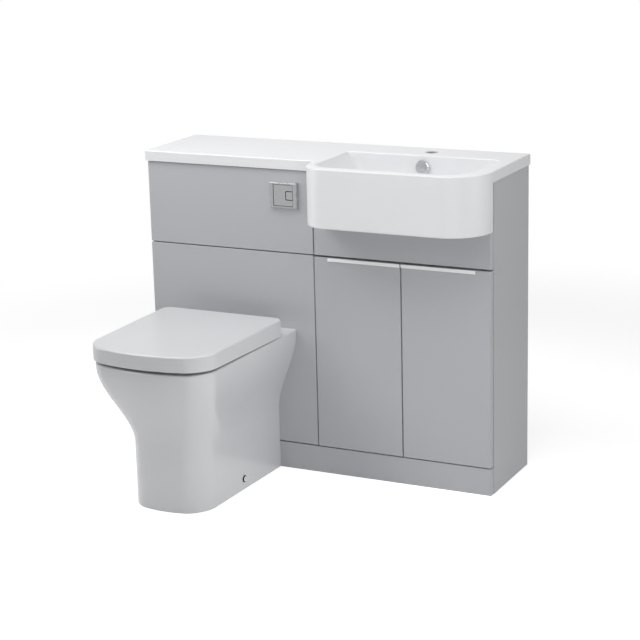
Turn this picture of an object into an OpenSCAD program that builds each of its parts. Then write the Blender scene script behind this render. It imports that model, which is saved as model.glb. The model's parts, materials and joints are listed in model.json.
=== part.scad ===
// Back-to-wall combination vanity unit: a WC unit with a concealed cistern and a slim vanity unit
// under one cast worktop and basin, with a back-to-wall pan, seat and lid.
// Millimetres. X runs to the right along the wall, Y runs into the wall (the wall face is Y = 0),
// Z is up from the floor. X = 0 is the joint between the two units.

/* [Cabinets] */
// Width of the WC unit, on the left
wc_w = 500; // [470:1:600]
// Width of the vanity unit, on the right
van_w = 500; // [480:1:600]
// Depth from the wall to the face of the fixed panels
unit_d = 270; // [260:1:300]
// Height of the cabinets under the worktop
unit_h = 829; // [810:1:860]
// Thickness of side panels, rails and boards
board_t = 18; // [15:1:19]
// Thickness of doors and front panels
front_t = 18; // [16:1:19]
// Gap between neighbouring fronts
front_gap = 3; // [2:0.5:4]
// Height from the seam between upper and lower fronts to the worktop
upper_front_h = 225; // [214:1:239]
// Height of the plinth board
plinth_h = 73; // [60:1:90]
// Rounding of the long edges of the fronts
edge_r = 2; // [1:0.5:3]
// Height of the rails behind the fronts
rail_h = 80; // [60:1:90]

/* [Worktop and basin] */
// Thickness of the worktop slab
slab_t = 28; // [22:1:34]
// Overhang of the slab in front of the panels
slab_front = 5; // [2:1:10]
// Overhang of the slab past each side panel
slab_side = 4; // [0:1:8]
// How far the basin stands in front of the panels
basin_out = 110; // [90:1:130]
// Left side of the basin, measured from the joint between the units
basin_left = 13; // [8:1:20]
// Height of the basin's apron below the worktop's top face
apron_h = 155; // [145:1:170]
// Corner radius of the basin, left
basin_r_left = 70; // [50:1:80]
// Corner radius of the basin, right
basin_r_right = 108; // [80:1:110]
// Width of the flat rim along the basin's front
rim_front = 32; // [28:1:40]
// Width of the flat rim on the left
rim_left = 20; // [18:1:26]
// Width of the flat rim on the right
rim_right = 42; // [36:1:50]
// Depth of the tap deck behind the bowl
tap_deck = 112; // [105:1:120]
// Depth of the bowl
bowl_depth = 113; // [100:1:118]
// Wall thickness of the casting
cast_wall = 12; // [10:1:13]
// Radius of the tap hole
tap_hole_r = 17.5; // [16:0.5:18]
// Distance of the tap hole from the wall
tap_y = 57; // [50:1:70]
// Radius of the overflow cover
overflow_r = 19; // [15:1:22]
// Height of the overflow below the worktop's top face
overflow_drop = 31; // [28:1:40]

/* [Pan] */
// Sideways place of the pan, from the middle of the WC unit
pan_shift = 12; // [-12:1:14]
// Height of the pan's rim
pan_h = 396; // [385:1:405]
// Projection of the pan's rim in front of the panels
pan_out = 510; // [480:1:530]
// Width of the pan at the panel
pan_w = 360; // [345:1:364]
// Width of the pan across the front corners
pan_front_w = 342; // [330:1:350]
// Projection of the pan's foot in front of the panels
foot_out = 427; // [410:1:450]
// Width of the foot at the panel
foot_w = 242; // [230:1:250]
// Width of the foot across the front corners
foot_front_w = 222; // [210:1:235]
// Wall thickness of the ceramic
pan_wall = 12; // [10:1:14]
// Height of the soil outlet above the floor
outlet_z = 180; // [175:1:190]
// Outer radius of the soil outlet
outlet_r = 51; // [50:0.5:52]
// Depth of the flush inlet's middle below the rim
inlet_drop = 66; // [61:1:71]
// Distance between the seat fixing holes
seat_fix = 155; // [145:1:165]

/* [Seat and lid] */
// Width of the lid at the hinge
lid_w = 363; // [350:1:370]
// Width of the lid across the front corners
lid_front_w = 350; // [338:1:358]
// Projection of the lid in front of the panels
lid_out = 514; // [484:1:534]
// Thickness of the lid at its skirt, top to bottom
lid_h = 41; // [38:1:44]
// Gap between rim and lid at the front
lid_gap_front = 8.5; // [7:0.5:10]
// Gap between rim and lid at the hinge
lid_gap_rear = 3; // [2.5:0.5:4]
// Wall thickness of the lid
lid_wall = 4; // [3:0.5:5]
// Thickness of the seat ring
ring_t = 15; // [12:1:17]
// Distance from the panels to the back of the lid
lid_back = 74; // [72:1:80]

/* [Doors] */
// Height of a handle's front lip
handle_lip = 9; // [7:0.5:12]
// How far a handle stands in front of its door
handle_out = 16; // [12:1:20]
// Plate thickness of a handle
handle_t = 1.5; // [1.2:0.1:2]
// Distance from a door's outer edge to the end of its handle
handle_inset = 42; // [35:1:60]
// Radius of a hinge cup
cup_r = 17.5; // [17:0.5:18]
// Depth of a hinge cup in the door
cup_deep = 13.5; // [13:0.1:14]
// Distance of the hinges from the door's ends
hinge_end = 95; // [80:1:120]

/* [Flush plate] */
// Width of the flush plate
plate_w = 84; // [80:1:90]
// Height of the flush plate
plate_h = 72; // [68:1:78]
// How far the plate stands in front of the panel
plate_out = 9; // [7:0.5:12]
// Distance of the plate's middle from the joint between the units
plate_x = 82; // [78:1:90]
// Distance of the plate's middle below the worktop's top face
plate_drop = 97; // [90:1:105]
// Side of the square full-flush button
button_w = 56; // [52:0.5:58]
// Width of the half-flush button
half_w = 20; // [18:0.5:22]
// Height of the half-flush button
half_h = 22; // [20:0.5:24]
// Travel of the buttons
button_travel = 6; // [4:0.5:7]

/* [Cistern] */
// Width of the tank
tank_w = 376; // [340:1:380]
// Depth of the tank
tank_d = 140; // [130:1:145]
// Height of the free space between the tank and the worktop
tank_gap = 33; // [28:1:60]
// Wall thickness of the tank
tank_wall = 4; // [3:0.5:5]
// Height of the shelf that carries the tank
shelf_z = 466; // [460:1:470]
// Radius of the flush pipe
pipe_r = 22; // [20:0.5:24]

/* [Fits] */
// Running clearance of pins in their eyes
run_fit = 0.05; // [0.03:0.01:0.08]
// Clearance between pieces that move past each other
move_gap = 0.5; // [0.4:0.1:0.8]
// Clearance round the half flush button in its notch
notch_gap = 1.2; // [0.8:0.1:1.2]
// Clearance round a fixed piece in its hole
hole_gap = 1; // [0.5:0.5:2]
// Thickness of a door buffer
buffer_t = 1.2; // [1:0.1:1.2]

/* [Hidden] */
$fn = 64;

panel_grey = [0.68, 0.69, 0.71];
carcass_grey = [0.72, 0.73, 0.75];
cast_white = [0.95, 0.96, 0.97];
china_white = [0.93, 0.94, 0.95];
chrome_grey = [0.78, 0.79, 0.81];
steel_grey = [0.62, 0.63, 0.65];
plastic_white = [0.9, 0.9, 0.9];
rubber_black = [0.15, 0.15, 0.16];

// Planes and places that several pieces share
front_y = -unit_d;
inner_y = front_y + front_t;
top_z = unit_h + slab_t;
half_gap = front_gap / 2;
seam_z = unit_h - upper_front_h;
door_back_gap = 1.5;
door_back_y = inner_y - door_back_gap;
door_front_y = door_back_y - front_t;
lower_z0 = plinth_h + front_gap;
lower_z1 = seam_z - half_gap;
upper_z0 = seam_z + half_gap;
upper_z1 = unit_h - 2;
door_z1 = seam_z - half_gap - handle_t - 0.5;
door_x0 = half_gap;
door_mid = van_w / 2;
slab_x0 = -wc_w - slab_side;
slab_x1 = van_w + slab_side;
slab_y0 = front_y - slab_front;
basin_x0 = basin_left;
basin_x1 = slab_x1;
basin_y0 = front_y - basin_out;
apron_z = top_z - apron_h;
bowl_x0 = basin_x0 + rim_left;
bowl_x1 = basin_x1 - rim_right;
bowl_y0 = basin_y0 + rim_front;
bowl_y1 = -tap_deck;
bowl_z = top_z - bowl_depth;
basin_mid_x = (bowl_x0 + bowl_x1) / 2;
waste_y = (bowl_y0 + bowl_y1) / 2 + 12;
tap_x = basin_mid_x + 3;
floor_t = 14;
pan_x = -wc_w / 2 + pan_shift;

// A flat outline with four corner radii, in the order left-front, right-front, right-back, left-back
function arc_points(cx, cy, r, a0, a1, n) =
  [for (i = [0:n]) let (a = a0 + (a1 - a0) * i / n) [cx + r * cos(a), cy + r * sin(a)]];
function box_outline(x0, x1, y0, y1, r, n = 8) = concat(
  arc_points(x0 + r[0], y0 + r[0], r[0], 180, 270, n),
  arc_points(x1 - r[1], y0 + r[1], r[1], 270, 360, n),
  arc_points(x1 - r[2], y1 - r[2], r[2], 0, 90, n),
  arc_points(x0 + r[3], y1 - r[3], r[3], 90, 180, n));

// A solid through a stack of rings that all have the same number of points
function at_height(outline, z) = [for (p = outline) [p[0], p[1], z]];
module loft(rings) {
  n = len(rings[0]);
  m = len(rings);
  points = [for (ring = rings) for (p = ring) p];
  sides = [for (j = [0:m - 2]) for (i = [0:n - 1]) let (k = (i + 1) % n)
    [j * n + i, (j + 1) * n + i, (j + 1) * n + k, j * n + k]];
  base = [for (i = [0:n - 1]) i];
  lid = [for (i = [n - 1:-1:0]) (m - 1) * n + i];
  polyhedron(points, concat(sides, [base, lid]), convexity = 6);
}

// A round tube through a list of points, its rings set square to the mean direction at each point
function unit(v) = v / norm(v);
function way(path, i) = unit(path[min(len(path) - 1, i + 1)] - path[max(0, i - 1)]);
function tube_ring(path, i, r, n, ref) = let (d = way(path, i), u = unit(cross(ref, d)), v = cross(d, u))
  [for (k = [0:n - 1]) let (a = 360 * k / n) path[i] + r * cos(a) * u + r * sin(a) * v];
module tube(path, r, n = 20, ref = [1, 0, 0]) loft([for (i = [0:len(path) - 1]) tube_ring(path, i, r, n, ref)]);

// A board whose four long vertical edges may be rounded in plan
module board(x0, x1, y0, y1, z0, z1) {
  translate([x0, y0, z0]) cube([x1 - x0, y1 - y0, z1 - z0]);
}
module round_square(x0, x1, y0, y1, r) {
  translate([x0 + r, y0]) square([x1 - x0 - 2 * r, y1 - y0]);
  translate([x0, y0 + r]) square([x1 - x0, y1 - y0 - 2 * r]);
  for (x = [x0 + r, x1 - r], y = [y0 + r, y1 - r]) translate([x, y]) circle(r);
}
module front_board(x0, x1, y0, z0, z1) {
  translate([0, 0, z0]) linear_extrude(z1 - z0) {
    round_square(x0, x1, y0, y0 + front_t - edge_r, edge_r);
    translate([x0, y0 + edge_r]) square([x1 - x0, front_t - edge_r - 1]);
    translate([x0 + 1, y0 + edge_r]) square([x1 - x0 - 2, front_t - edge_r]);
    for (x = [x0 + 1, x1 - 1]) translate([x, y0 + front_t - 1]) circle(1, $fn = 24);
  }
}
module along_y(x, y, z, r, len) {
  translate([x, y, z]) rotate([-90, 0, 0]) cylinder(r = r, h = len);
}
module along_x(x, y, z, r, len) {
  translate([x, y, z]) rotate([0, 90, 0]) cylinder(r = r, h = len);
}

// Worktop with basin

module basin_plan() {
  rl = basin_r_left;
  rr = basin_r_right;
  back = slab_y0 + 20;
  translate([basin_x0 + rl, basin_y0]) square([basin_x1 - rr - basin_x0 - rl, back - basin_y0]);
  translate([basin_x0, basin_y0 + rl]) square([rl + 1, back - basin_y0 - rl]);
  translate([basin_x1 - rr - 1, basin_y0 + rr]) square([rr + 1, back - basin_y0 - rr]);
  translate([basin_x0 + rl, basin_y0 + rl]) circle(rl, $fn = 128);
  translate([basin_x1 - rr, basin_y0 + rr]) circle(rr, $fn = 128);
}
module basin_plan_inner(t) {
  rl = basin_r_left - t;
  rr = basin_r_right - t;
  translate([basin_x0 + basin_r_left, basin_y0 + t])
    square([basin_x1 - basin_r_right - basin_x0 - basin_r_left, basin_out - t]);
  translate([basin_x0 + t, basin_y0 + basin_r_left]) square([rl + 1, basin_out - basin_r_left]);
  translate([basin_x1 - basin_r_right - 1, basin_y0 + basin_r_right])
    square([rr + 1, max(0.1, basin_out - basin_r_right)]);
  translate([basin_x0 + basin_r_left, basin_y0 + basin_r_left]) circle(rl, $fn = 96);
  translate([basin_x1 - basin_r_right, basin_y0 + basin_r_right]) circle(rr, $fn = 96);
}
// Rings of the bowl: how far each side leans in, and the corner radii, at each depth
bowl_rings = [
  // depth, left, right, front, back, corner radii
  [-1, -3, -3, -3, -3, [50, 75, 10, 10]],
  [0.5, -3, -3, -3, -3, [50, 75, 10, 10]],
  [3, 0, 0, 0, 0, [50, 75, 8, 8]],
  [22, 7, 6, 3, 1.5, [54, 76, 20, 20]],
  [46, 17, 13, 7, 3.5, [58, 78, 44, 44]],
  [72, 32, 23, 13, 8, [64, 80, 58, 58]],
  [92, 52, 40, 26, 22, [66, 78, 62, 62]],
  [104, 78, 66, 48, 44, [58, 66, 56, 56]],
  [110, 112, 100, 78, 72, [36, 40, 36, 36]]
];
function bowl_ring(b, grow) = at_height(
  box_outline(bowl_x0 + b[1] - grow, bowl_x1 - b[2] + grow, bowl_y0 + b[3] - grow, bowl_y1 - b[4] + grow,
    [for (r = b[5]) r + grow]),
  top_z - b[0] * bowl_depth / 113);
module bowl_space() {
  loft([for (i = [len(bowl_rings) - 1:-1:0]) bowl_ring(bowl_rings[i], 0)]);
}
module bowl_shell() {
  intersection() {
    loft([
      at_height(bowl_ring(bowl_rings[8], cast_wall), bowl_z - floor_t),
      at_height(bowl_ring(bowl_rings[7], cast_wall), bowl_z - floor_t + 6),
      bowl_ring(bowl_rings[6], cast_wall),
      bowl_ring(bowl_rings[5], cast_wall),
      bowl_ring(bowl_rings[4], cast_wall),
      at_height(bowl_ring(bowl_rings[3], cast_wall), unit_h + 1)]);
    board(basin_x0, basin_x1, basin_y0 + 1, -20, bowl_z - floor_t - 1, unit_h + 2);
  }
}
duct_w = 30;
duct_in = 20;
duct_t = 8;
duct_y = bowl_y1 + 14;
module overflow_duct_outer() {
  board(basin_mid_x - duct_w / 2, basin_mid_x + duct_w / 2, bowl_y1 - 30, duct_y + duct_t + 5,
    bowl_z - floor_t, unit_h + 1);
}
module overflow_duct_inner() {
  board(basin_mid_x - duct_in / 2, basin_mid_x + duct_in / 2, duct_y, duct_y + duct_t,
    bowl_z - floor_t + 4, top_z - overflow_drop + 8);
  along_y(basin_mid_x, bowl_y1 - 14, top_z - overflow_drop, 12, duct_y + 15 - bowl_y1);
  along_y(basin_mid_x, waste_y, bowl_z - floor_t / 2 - 1, 4, duct_y + duct_t - waste_y - 1);
}
waste_hole_r = 22.5;
recess_r = 32;
module worktop_basin() color(cast_white) difference() {
  union() {
    // slab with rounded corners in plan
    translate([0, 0, unit_h]) linear_extrude(slab_t) {
      translate([slab_x0 + 3, slab_y0]) square([slab_x1 - slab_x0 - 6, -slab_y0]);
      translate([slab_x0, slab_y0 + 3]) square([slab_x1 - slab_x0, -slab_y0 - 3]);
      for (x = [slab_x0 + 3, slab_x1 - 3]) translate([x, slab_y0 + 3]) circle(3, $fn = 32);
      // hollow fillet where the slab's front edge meets the basin
      difference() {
        translate([basin_x0 - 16, slab_y0 - 16]) square([17, 17]);
        translate([basin_x0 - 16, slab_y0 - 16]) circle(16);
      }
    }
    // apron, hollow underneath
    difference() {
      translate([0, 0, apron_z]) linear_extrude(apron_h) intersection() {
        basin_plan();
        translate([basin_x0, basin_y0]) square([basin_x1 - basin_x0, basin_out]);
      }
      translate([0, 0, apron_z - 1]) linear_extrude(apron_h - slab_t) intersection() {
        basin_plan_inner(cast_wall);
        translate([basin_x0, basin_y0]) square([basin_x1 - basin_x0, basin_out - cast_wall]);
      }
    }
    bowl_shell();
    overflow_duct_outer();
  }
  bowl_space();
  overflow_duct_inner();
  translate([basin_mid_x, waste_y, bowl_z - floor_t - 1]) cylinder(r = waste_hole_r, h = floor_t + 10);
  translate([basin_mid_x, waste_y, bowl_z - 1]) cylinder(r = recess_r + 1, h = 20);
  translate([tap_x, -tap_y, unit_h - 1]) cylinder(r = tap_hole_r, h = slab_t + 2);
}

over_z = top_z - overflow_drop;
over_y = bowl_y1 - 3.5;
module overflow_cover() color(chrome_grey) {
  translate([basin_mid_x, over_y - 1, over_z]) rotate([90, 0, 0]) {
    rotate_extrude() polygon([[0, -14], [3, -14], [3, 2.5], [overflow_r - 3, 2.5], [overflow_r, 0],
      [overflow_r, 2], [overflow_r - 2, 4.5], [0, 5]]);
    for (a = [0:120:240]) rotate(a) translate([2, -1.5, -12]) cube([9.5, 3, 14.6]);
  }
}

// Basin waste

tail_r = 20.95;
neck_r = 20.4;
tail_len = 78;
nut_h = 12;
flange_z = bowl_z + 1.5;
washer_t = 3;
tail_top = bowl_z - floor_t - washer_t - nut_h - 2;
module waste_body() color(chrome_grey) translate([basin_mid_x, waste_y, 0]) difference() {
  rotate_extrude() polygon([[17, flange_z - tail_len], [tail_r, flange_z - tail_len], [tail_r, tail_top],
    [neck_r, tail_top + 0.5], [neck_r, bowl_z - 1], [recess_r, bowl_z - 1], [recess_r, bowl_z], [recess_r - 2, flange_z], [20, flange_z], [17, bowl_z - 3]]);
  for (a = [45:90:315]) rotate(a) translate([10, -4, bowl_z - floor_t + 2]) cube([15, 8, 7]);
}
module waste_washer() color(rubber_black) translate([basin_mid_x, waste_y, bowl_z - floor_t - washer_t])
  difference() {
    cylinder(r = 32, h = washer_t);
    translate([0, 0, -1]) cylinder(r = neck_r + 0.1, h = washer_t + 2);
  }
module waste_backnut() color(plastic_white)
  translate([basin_mid_x, waste_y, bowl_z - floor_t - washer_t - nut_h]) difference() {
    union() {
      cylinder(r = 31, h = 3, $fn = 64);
      cylinder(r = 29, h = nut_h, $fn = 6);
    }
    translate([0, 0, -1]) cylinder(r = neck_r + 0.1, h = nut_h + 2);
  }
module waste_plug() color(chrome_grey) translate([basin_mid_x, waste_y, flange_z + 0.4]) {
  rotate_extrude() polygon([[0, 0], [29, 0], [31, 1], [31, 2.5], [26, 4.2], [14, 5.4], [0, 5.8]]);
  translate([0, 0, -40]) cylinder(r = 4, h = 40.5);
  translate([0, 0, -18]) cylinder(r = 10, h = 6);
}

// WC unit carcass

wc_x0 = -wc_w;
wc_in0 = wc_x0 + board_t;
wc_in1 = -board_t;
module wc_side_left() color(panel_grey) board(wc_x0, wc_in0, inner_y, 0, 0, unit_h);
module wc_side_right() color(carcass_grey) difference() {
  board(wc_in1, 0, inner_y, 0, 0, unit_h);
  unit_bolt_holes();
}
module wc_top_rail() color(carcass_grey)
  board(wc_in0, wc_in1, inner_y, inner_y + rail_h - 20, unit_h - board_t, unit_h);
module wc_middle_rail() color(carcass_grey) difference() {
  board(wc_in0, wc_in1, inner_y, inner_y + board_t, seam_z - rail_h / 2, seam_z + rail_h / 2);
  clip_holes();
}
module wc_bottom_rail() color(carcass_grey) difference() {
  board(wc_in0, wc_in1, inner_y, inner_y + board_t, plinth_h - 45, plinth_h + 35);
  clip_holes();
}
module wc_rear_rail() color(carcass_grey)
  board(wc_in0, wc_in1, -board_t, 0, unit_h - rail_h - 10, unit_h);

tank_x0 = pan_x - tank_w / 2;
tank_y1 = -board_t - 5;
tank_y0 = tank_y1 - tank_d;
tank_y = (tank_y0 + tank_y1) / 2;
tank_z1 = unit_h - tank_gap;
valve_r = 30;
fill_x = tank_x0 + 48;
module cistern_shelf() color(carcass_grey) difference() {
  board(wc_in0, wc_in1, tank_y0 - 12, 0, shelf_z - board_t, shelf_z);
  translate([pan_x, tank_y, shelf_z - board_t - 1]) cylinder(r = valve_r + 16, h = board_t + 2);
  translate([fill_x, tank_y, shelf_z - board_t - 1]) cylinder(r = 22, h = board_t + 2);
}

// Fronts of the WC unit

plate_z = top_z - plate_drop;
housing_w = 62;
housing_h = 60;
module wc_upper_panel() color(panel_grey) difference() {
  front_board(wc_x0 + half_gap, -half_gap, front_y, upper_z0, upper_z1);
  board(-plate_x - housing_w / 2 - hole_gap, -plate_x + housing_w / 2 + hole_gap, front_y - 1, inner_y + 1,
    plate_z - housing_h / 2 - hole_gap, plate_z + housing_h / 2 + hole_gap);
}
soil_hole_r = outlet_r + 11;
module wc_lower_panel() color(panel_grey) difference() {
  front_board(wc_x0 + half_gap, -half_gap, front_y, lower_z0, lower_z1);
  along_y(pan_x, front_y - 1, outlet_z, soil_hole_r, front_t + 2);
  along_y(pan_x, front_y - 1, inlet_z, pipe_r + 8, front_t + 2);
}
clip_r = 5;
clip_xs = [wc_in0 + 50, wc_in1 - 50];
clip_zs = [seam_z + 20, seam_z - 20, plinth_h + 15];
module clip_holes() {
  for (x = clip_xs, z = clip_zs) along_y(x, inner_y - 1, z, clip_r, board_t + 2);
}
module panel_clips() color(plastic_white) for (x = clip_xs, z = clip_zs) {
  along_y(x, inner_y, z, clip_r - 0.1, board_t);
  along_y(x, inner_y + board_t, z, clip_r + 3, 3);
}
module plinth() color(panel_grey)
  front_board(wc_x0 + half_gap, van_w - half_gap, front_y, 0, plinth_h);

// Vanity unit carcass

van_in0 = board_t;
van_in1 = van_w - board_t;
bolt_r = 3;
bolt_ys = [-60, inner_y + 87];
bolt_zs = [plinth_h + 97, seam_z - 84];
module unit_bolt_holes() {
  for (z = bolt_zs, y = bolt_ys) along_x(-board_t - 1, y, z, bolt_r + 0.1, 2 * board_t + 2);
}
module vanity_side_left() color(carcass_grey) difference() {
  board(0, van_in0, inner_y, 0, 0, unit_h);
  unit_bolt_holes();
}
module vanity_side_right() color(panel_grey) board(van_in1, van_w, inner_y, 0, 0, unit_h);
module vanity_bottom() color(carcass_grey)
  board(van_in0, van_in1, inner_y, 0, plinth_h, plinth_h + board_t);
module vanity_front_rail() color(carcass_grey)
  board(van_in0, van_in1, inner_y, inner_y + board_t, seam_z - 16, seam_z + 28);
module vanity_rear_top_rail() color(carcass_grey)
  board(van_in0, van_in1, -board_t, 0, unit_h - rail_h - 10, unit_h);
module vanity_rear_low_rail() color(carcass_grey)
  board(van_in0, van_in1, -board_t, 0, plinth_h + board_t, plinth_h + board_t + rail_h);
cut_x0 = bowl_x0 - cast_wall - hole_gap;
cut_x1 = bowl_x1 + cast_wall + hole_gap;
module fascia() color(panel_grey) difference() {
  front_board(half_gap, van_w - half_gap, front_y, upper_z0, upper_z1);
  board(cut_x0, cut_x1, front_y - 1, inner_y + 1, apron_z, unit_h + 1);
}

// Doors, handles and hinges; the right side is the left one mirrored about the vanity unit's middle

module mirrored() {
  translate([van_w, 0, 0]) mirror([1, 0, 0]) children();
}
hinge_zs = [lower_z0 + hinge_end, door_z1 - hinge_end];
cup_x = door_x0 + 3.5 + cup_r;
pin_x = door_x0 + 5.5;
pin_y = door_front_y + 6.8;
pin_r = 1.3;
cup_t = 0.8;
module door() color(panel_grey) difference() {
  front_board(door_x0, door_mid - half_gap, door_front_y, lower_z0, door_z1);
  for (z = hinge_zs) {
    along_y(cup_x, door_back_y - cup_deep - 0.2, z, cup_r + 0.1, cup_deep + 1);
    board(pin_x - 2.8, cup_x - 5, door_back_y - cup_deep - 0.2, door_back_y + 1, z - cheek_z - 0.1, z + cheek_z + 0.1);
  }
}
module door_left() door();
module door_right() mirrored() door();
cheek_z = 8.5;
arm_h = 10;
module hinge_cup(z) difference() {
  union() {
    along_y(cup_x, door_back_y - cup_deep, z, cup_r, cup_deep);
    board(pin_x - 2.7, cup_x - 6, door_back_y - cup_deep, door_back_y, z - cheek_z, z + cheek_z);
    // wings screwed to the door's back
    board(cup_x - 5, cup_x + 12, door_back_y, door_back_y + 1, z - 24, z + 24);
  }
  // room inside the cup, with two cheeks left standing for the pin
  difference() {
    along_y(cup_x, door_back_y - cup_deep + cup_t, z, cup_r - cup_t, cup_deep + 3);
    board(pin_x - 4, pin_x + 4, door_back_y - cup_deep, door_back_y, z - cheek_z, z + cheek_z);
  }
  // slot the arm swings in
  board(pin_x - 4, pin_x + 5, door_back_y - cup_deep - 1, door_back_y + 2, z - arm_h / 2 - 0.4, z + arm_h / 2 + 0.4);
  translate([pin_x, pin_y, z - 14]) cylinder(r = pin_r, h = 28, $fn = 32);
  for (s = [-1, 1]) along_y(cup_x + 4, door_back_y - 1, z + s * 21.5, 1.5, 3);
}
module hinge_cups() color(steel_grey) for (z = hinge_zs) hinge_cup(z);
module hinge_cups_left() hinge_cups();
module hinge_cups_right() mirrored() hinge_cups();
module hinge_arm(z) {
  // goose-neck arm from the pin's eye into the cabinet, then the mounting plate on the side panel
  difference() {
    translate([0, 0, z - arm_h / 2]) linear_extrude(arm_h) {
      translate([pin_x, pin_y]) circle(pin_r + run_fit + 0.75, $fn = 32);
      translate([pin_x, pin_y - 1]) square([van_in0 + 8 - pin_x, 1.5]);
      translate([van_in0 + 6, pin_y - 1]) square([2, inner_y + 18 - pin_y]);
      translate([van_in0 + 2, inner_y + 15]) square([6, 2.2]);
      translate([van_in0, inner_y + 12]) square([4, 56]);
    }
    translate([pin_x, pin_y, z - arm_h]) cylinder(r = pin_r + run_fit, h = 2 * arm_h, $fn = 32);
  }
  translate([van_in0, inner_y + 34, z - 24]) cube([2, 14, 48]);
  for (s = [-1, 1]) along_x(van_in0 + 1.9, inner_y + 41, z + s * 16, 3.5, 1.6);
}
module hinge_arms() color(steel_grey) for (z = hinge_zs) hinge_arm(z);
module hinge_arms_left() hinge_arms();
module hinge_arms_right() mirrored() hinge_arms();
module hinge_pins() color(steel_grey) for (z = hinge_zs)
  translate([pin_x, pin_y, z - cheek_z]) cylinder(r = pin_r, h = 2 * cheek_z, $fn = 32);
module hinge_pins_left() hinge_pins();
module hinge_pins_right() mirrored() hinge_pins();

handle_x0 = door_x0 + handle_inset - half_gap;
handle_x1 = door_mid - half_gap;
module handle() color(chrome_grey) {
  lip_y = door_front_y - handle_out;
  board(handle_x0, handle_x1, lip_y, door_back_y - 2, door_z1, door_z1 + handle_t);
  board(handle_x0, handle_x1, lip_y, lip_y + handle_t, door_z1 + handle_t - handle_lip, door_z1 + handle_t);
}
module handle_left() handle();
module handle_right() mirrored() handle();
module door_buffers() color(rubber_black) for (x = [door_mid - 14, door_mid + 14]) {
  for (z = [plinth_h + board_t / 2 + 1, seam_z - 10]) along_y(x, inner_y - buffer_t, z, 4, buffer_t);
}

module unit_bolts() color(steel_grey) for (z = bolt_zs, y = bolt_ys) {
  along_x(-board_t, y, z, bolt_r, 2 * board_t);
  along_x(-board_t - 3, y, z, bolt_r + 3.5, 3);
  along_x(board_t, y, z, bolt_r + 3.5, 3);
}
bracket_w = 30;
bracket_z = unit_h - rail_h - 10 - 40;
bracket_hole_r = 3;
bracket_xs = [wc_in0 + 3, wc_in1 - bracket_w - 3, van_in0 + 3, van_in1 - bracket_w - 3];
module wall_brackets() color(steel_grey) for (i = [0:3]) {
  x = bracket_xs[i];
  side_x = i % 2 == 0 ? x - 3 : x + bracket_w;
  difference() {
    union() {
      board(x - (i % 2 == 0 ? 3 : 0), x + bracket_w + (i % 2 == 0 ? 0 : 3), -2.5, 0, bracket_z, bracket_z + 40);
      board(side_x, side_x + 3, -45, 0, bracket_z, bracket_z + 40);
    }
    along_y(x + bracket_w / 2, -4, bracket_z + 20, bracket_hole_r, 6);
  }
}

// Pan

foot_r = 55;
rim_r = 57;
crown = 33;
foot_crown = 24;
flare_z0 = 165;
flare_z1 = 388;
function ease(t) = let (u = min(1, max(0, t))) u * u * (3 - 2 * u);
function flare(z) = ease((z - flare_z0 * pan_h / 396) / ((flare_z1 - flare_z0) * pan_h / 396));
function mix(a, b, t) = a + (b - a) * t;
// Half outline of the pan at one level: rear half width, front half width, corner line, crown, corner radius
function bowed(x, y, hw, yf, yb, c) = [x, y - c * (1 - pow(x / hw, 2)) * pow(min(1, max(0, (yb - y) / (yb - yf))), 3)];
function half_outline(wr, wf, yf, c, r, yb, rb) = let (
    steps = 5,
    rear = rb == 0 ? [] : [for (i = [0:5]) let (a = 90 - i * 18) [wr - rb + rb * cos(a), yb - rb + rb * sin(a)]],
    y0 = yb - rb,
    side = [for (i = [rb == 0 ? 0 : 1:steps]) let (y = mix(y0, yf + r, i / steps))
      [mix(wr, wf, (y0 - y) / (y0 - yf)), y]],
    w0 = mix(wr, wf, (y0 - yf - r) / (y0 - yf)),
    corner = [for (i = [1:9]) let (a = i * 10) [w0 - r + r * cos(a), yf + r - r * sin(a)]],
    front = [for (i = [1:5]) [(w0 - r) * (1 - i / 5), yf]])
  [for (p = concat(rear, side, corner, front)) bowed(p[0], p[1], wf, yf, yb, c)];
function closed_outline(wr, wf, yf, c, r, yb, rb = 0) = let (h = half_outline(wr, wf, yf, c, r, yb, rb),
    n = len(h))
  concat(
    [for (i = [0:n - 1]) [pan_x - h[i][0], h[i][1]]],
    [for (i = [n - 2:-1:0]) [pan_x + h[i][0], h[i][1]]]);
function pan_ring(z, inset, back) = let (t = flare(z), rim_yf = front_y - pan_out + crown,
    foot_yf = front_y - foot_out + foot_crown)
  at_height(closed_outline(
    mix(foot_w, pan_w, t) / 2 - inset,
    mix(foot_front_w, pan_front_w, t) / 2 - inset,
    mix(foot_yf, rim_yf, t) + inset,
    mix(foot_crown, crown, t),
    mix(foot_r, rim_r, t) - min(inset, 30),
    front_y - back, 1.5 + back / 2), z);
scale_h = pan_h / 396;
outer_levels = [0, 90, 165, 195, 225, 255, 285, 315, 345, 370];
inner_levels = [0, 165, 210, 255, 300, 345];
rim_edge = 5;
deck_t = 14;
// The bowl, for a pan 360 wide, 510 long and 396 high: height, rear half width, front half width, front and
// rear of the opening from the panels, radii. Its sizes follow the pan's own.
drawn_bowl = [
  [392, 116, 108, 462, 138, 84, 58], [380, 122, 114, 468, 134, 88, 62], [345, 117, 110, 458, 136, 88, 64],
  [300, 103, 96, 434, 140, 82, 64], [255, 82, 78, 392, 144, 70, 60], [210, 62, 59, 342, 148, 54, 50],
  [172, 48, 46, 300, 152, 42, 40], [146, 38, 36, 268, 160, 32, 32], [133, 24, 22, 244, 180, 18, 18]
];
bowl_levels = [for (b = drawn_bowl) [b[0] * scale_h, b[1] * pan_w / 360, b[2] * pan_front_w / 342,
  b[3] * pan_out / 510, b[4], b[5] * pan_w / 360, b[6] * pan_w / 360]];
function pan_bowl_ring(b, grow, z) = at_height(closed_outline(b[1] + grow, b[2] + grow,
  front_y - b[3] + 12 - grow, 12, b[5] + grow / 2, front_y - b[4] + grow, b[6] + grow / 2), z);
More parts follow.
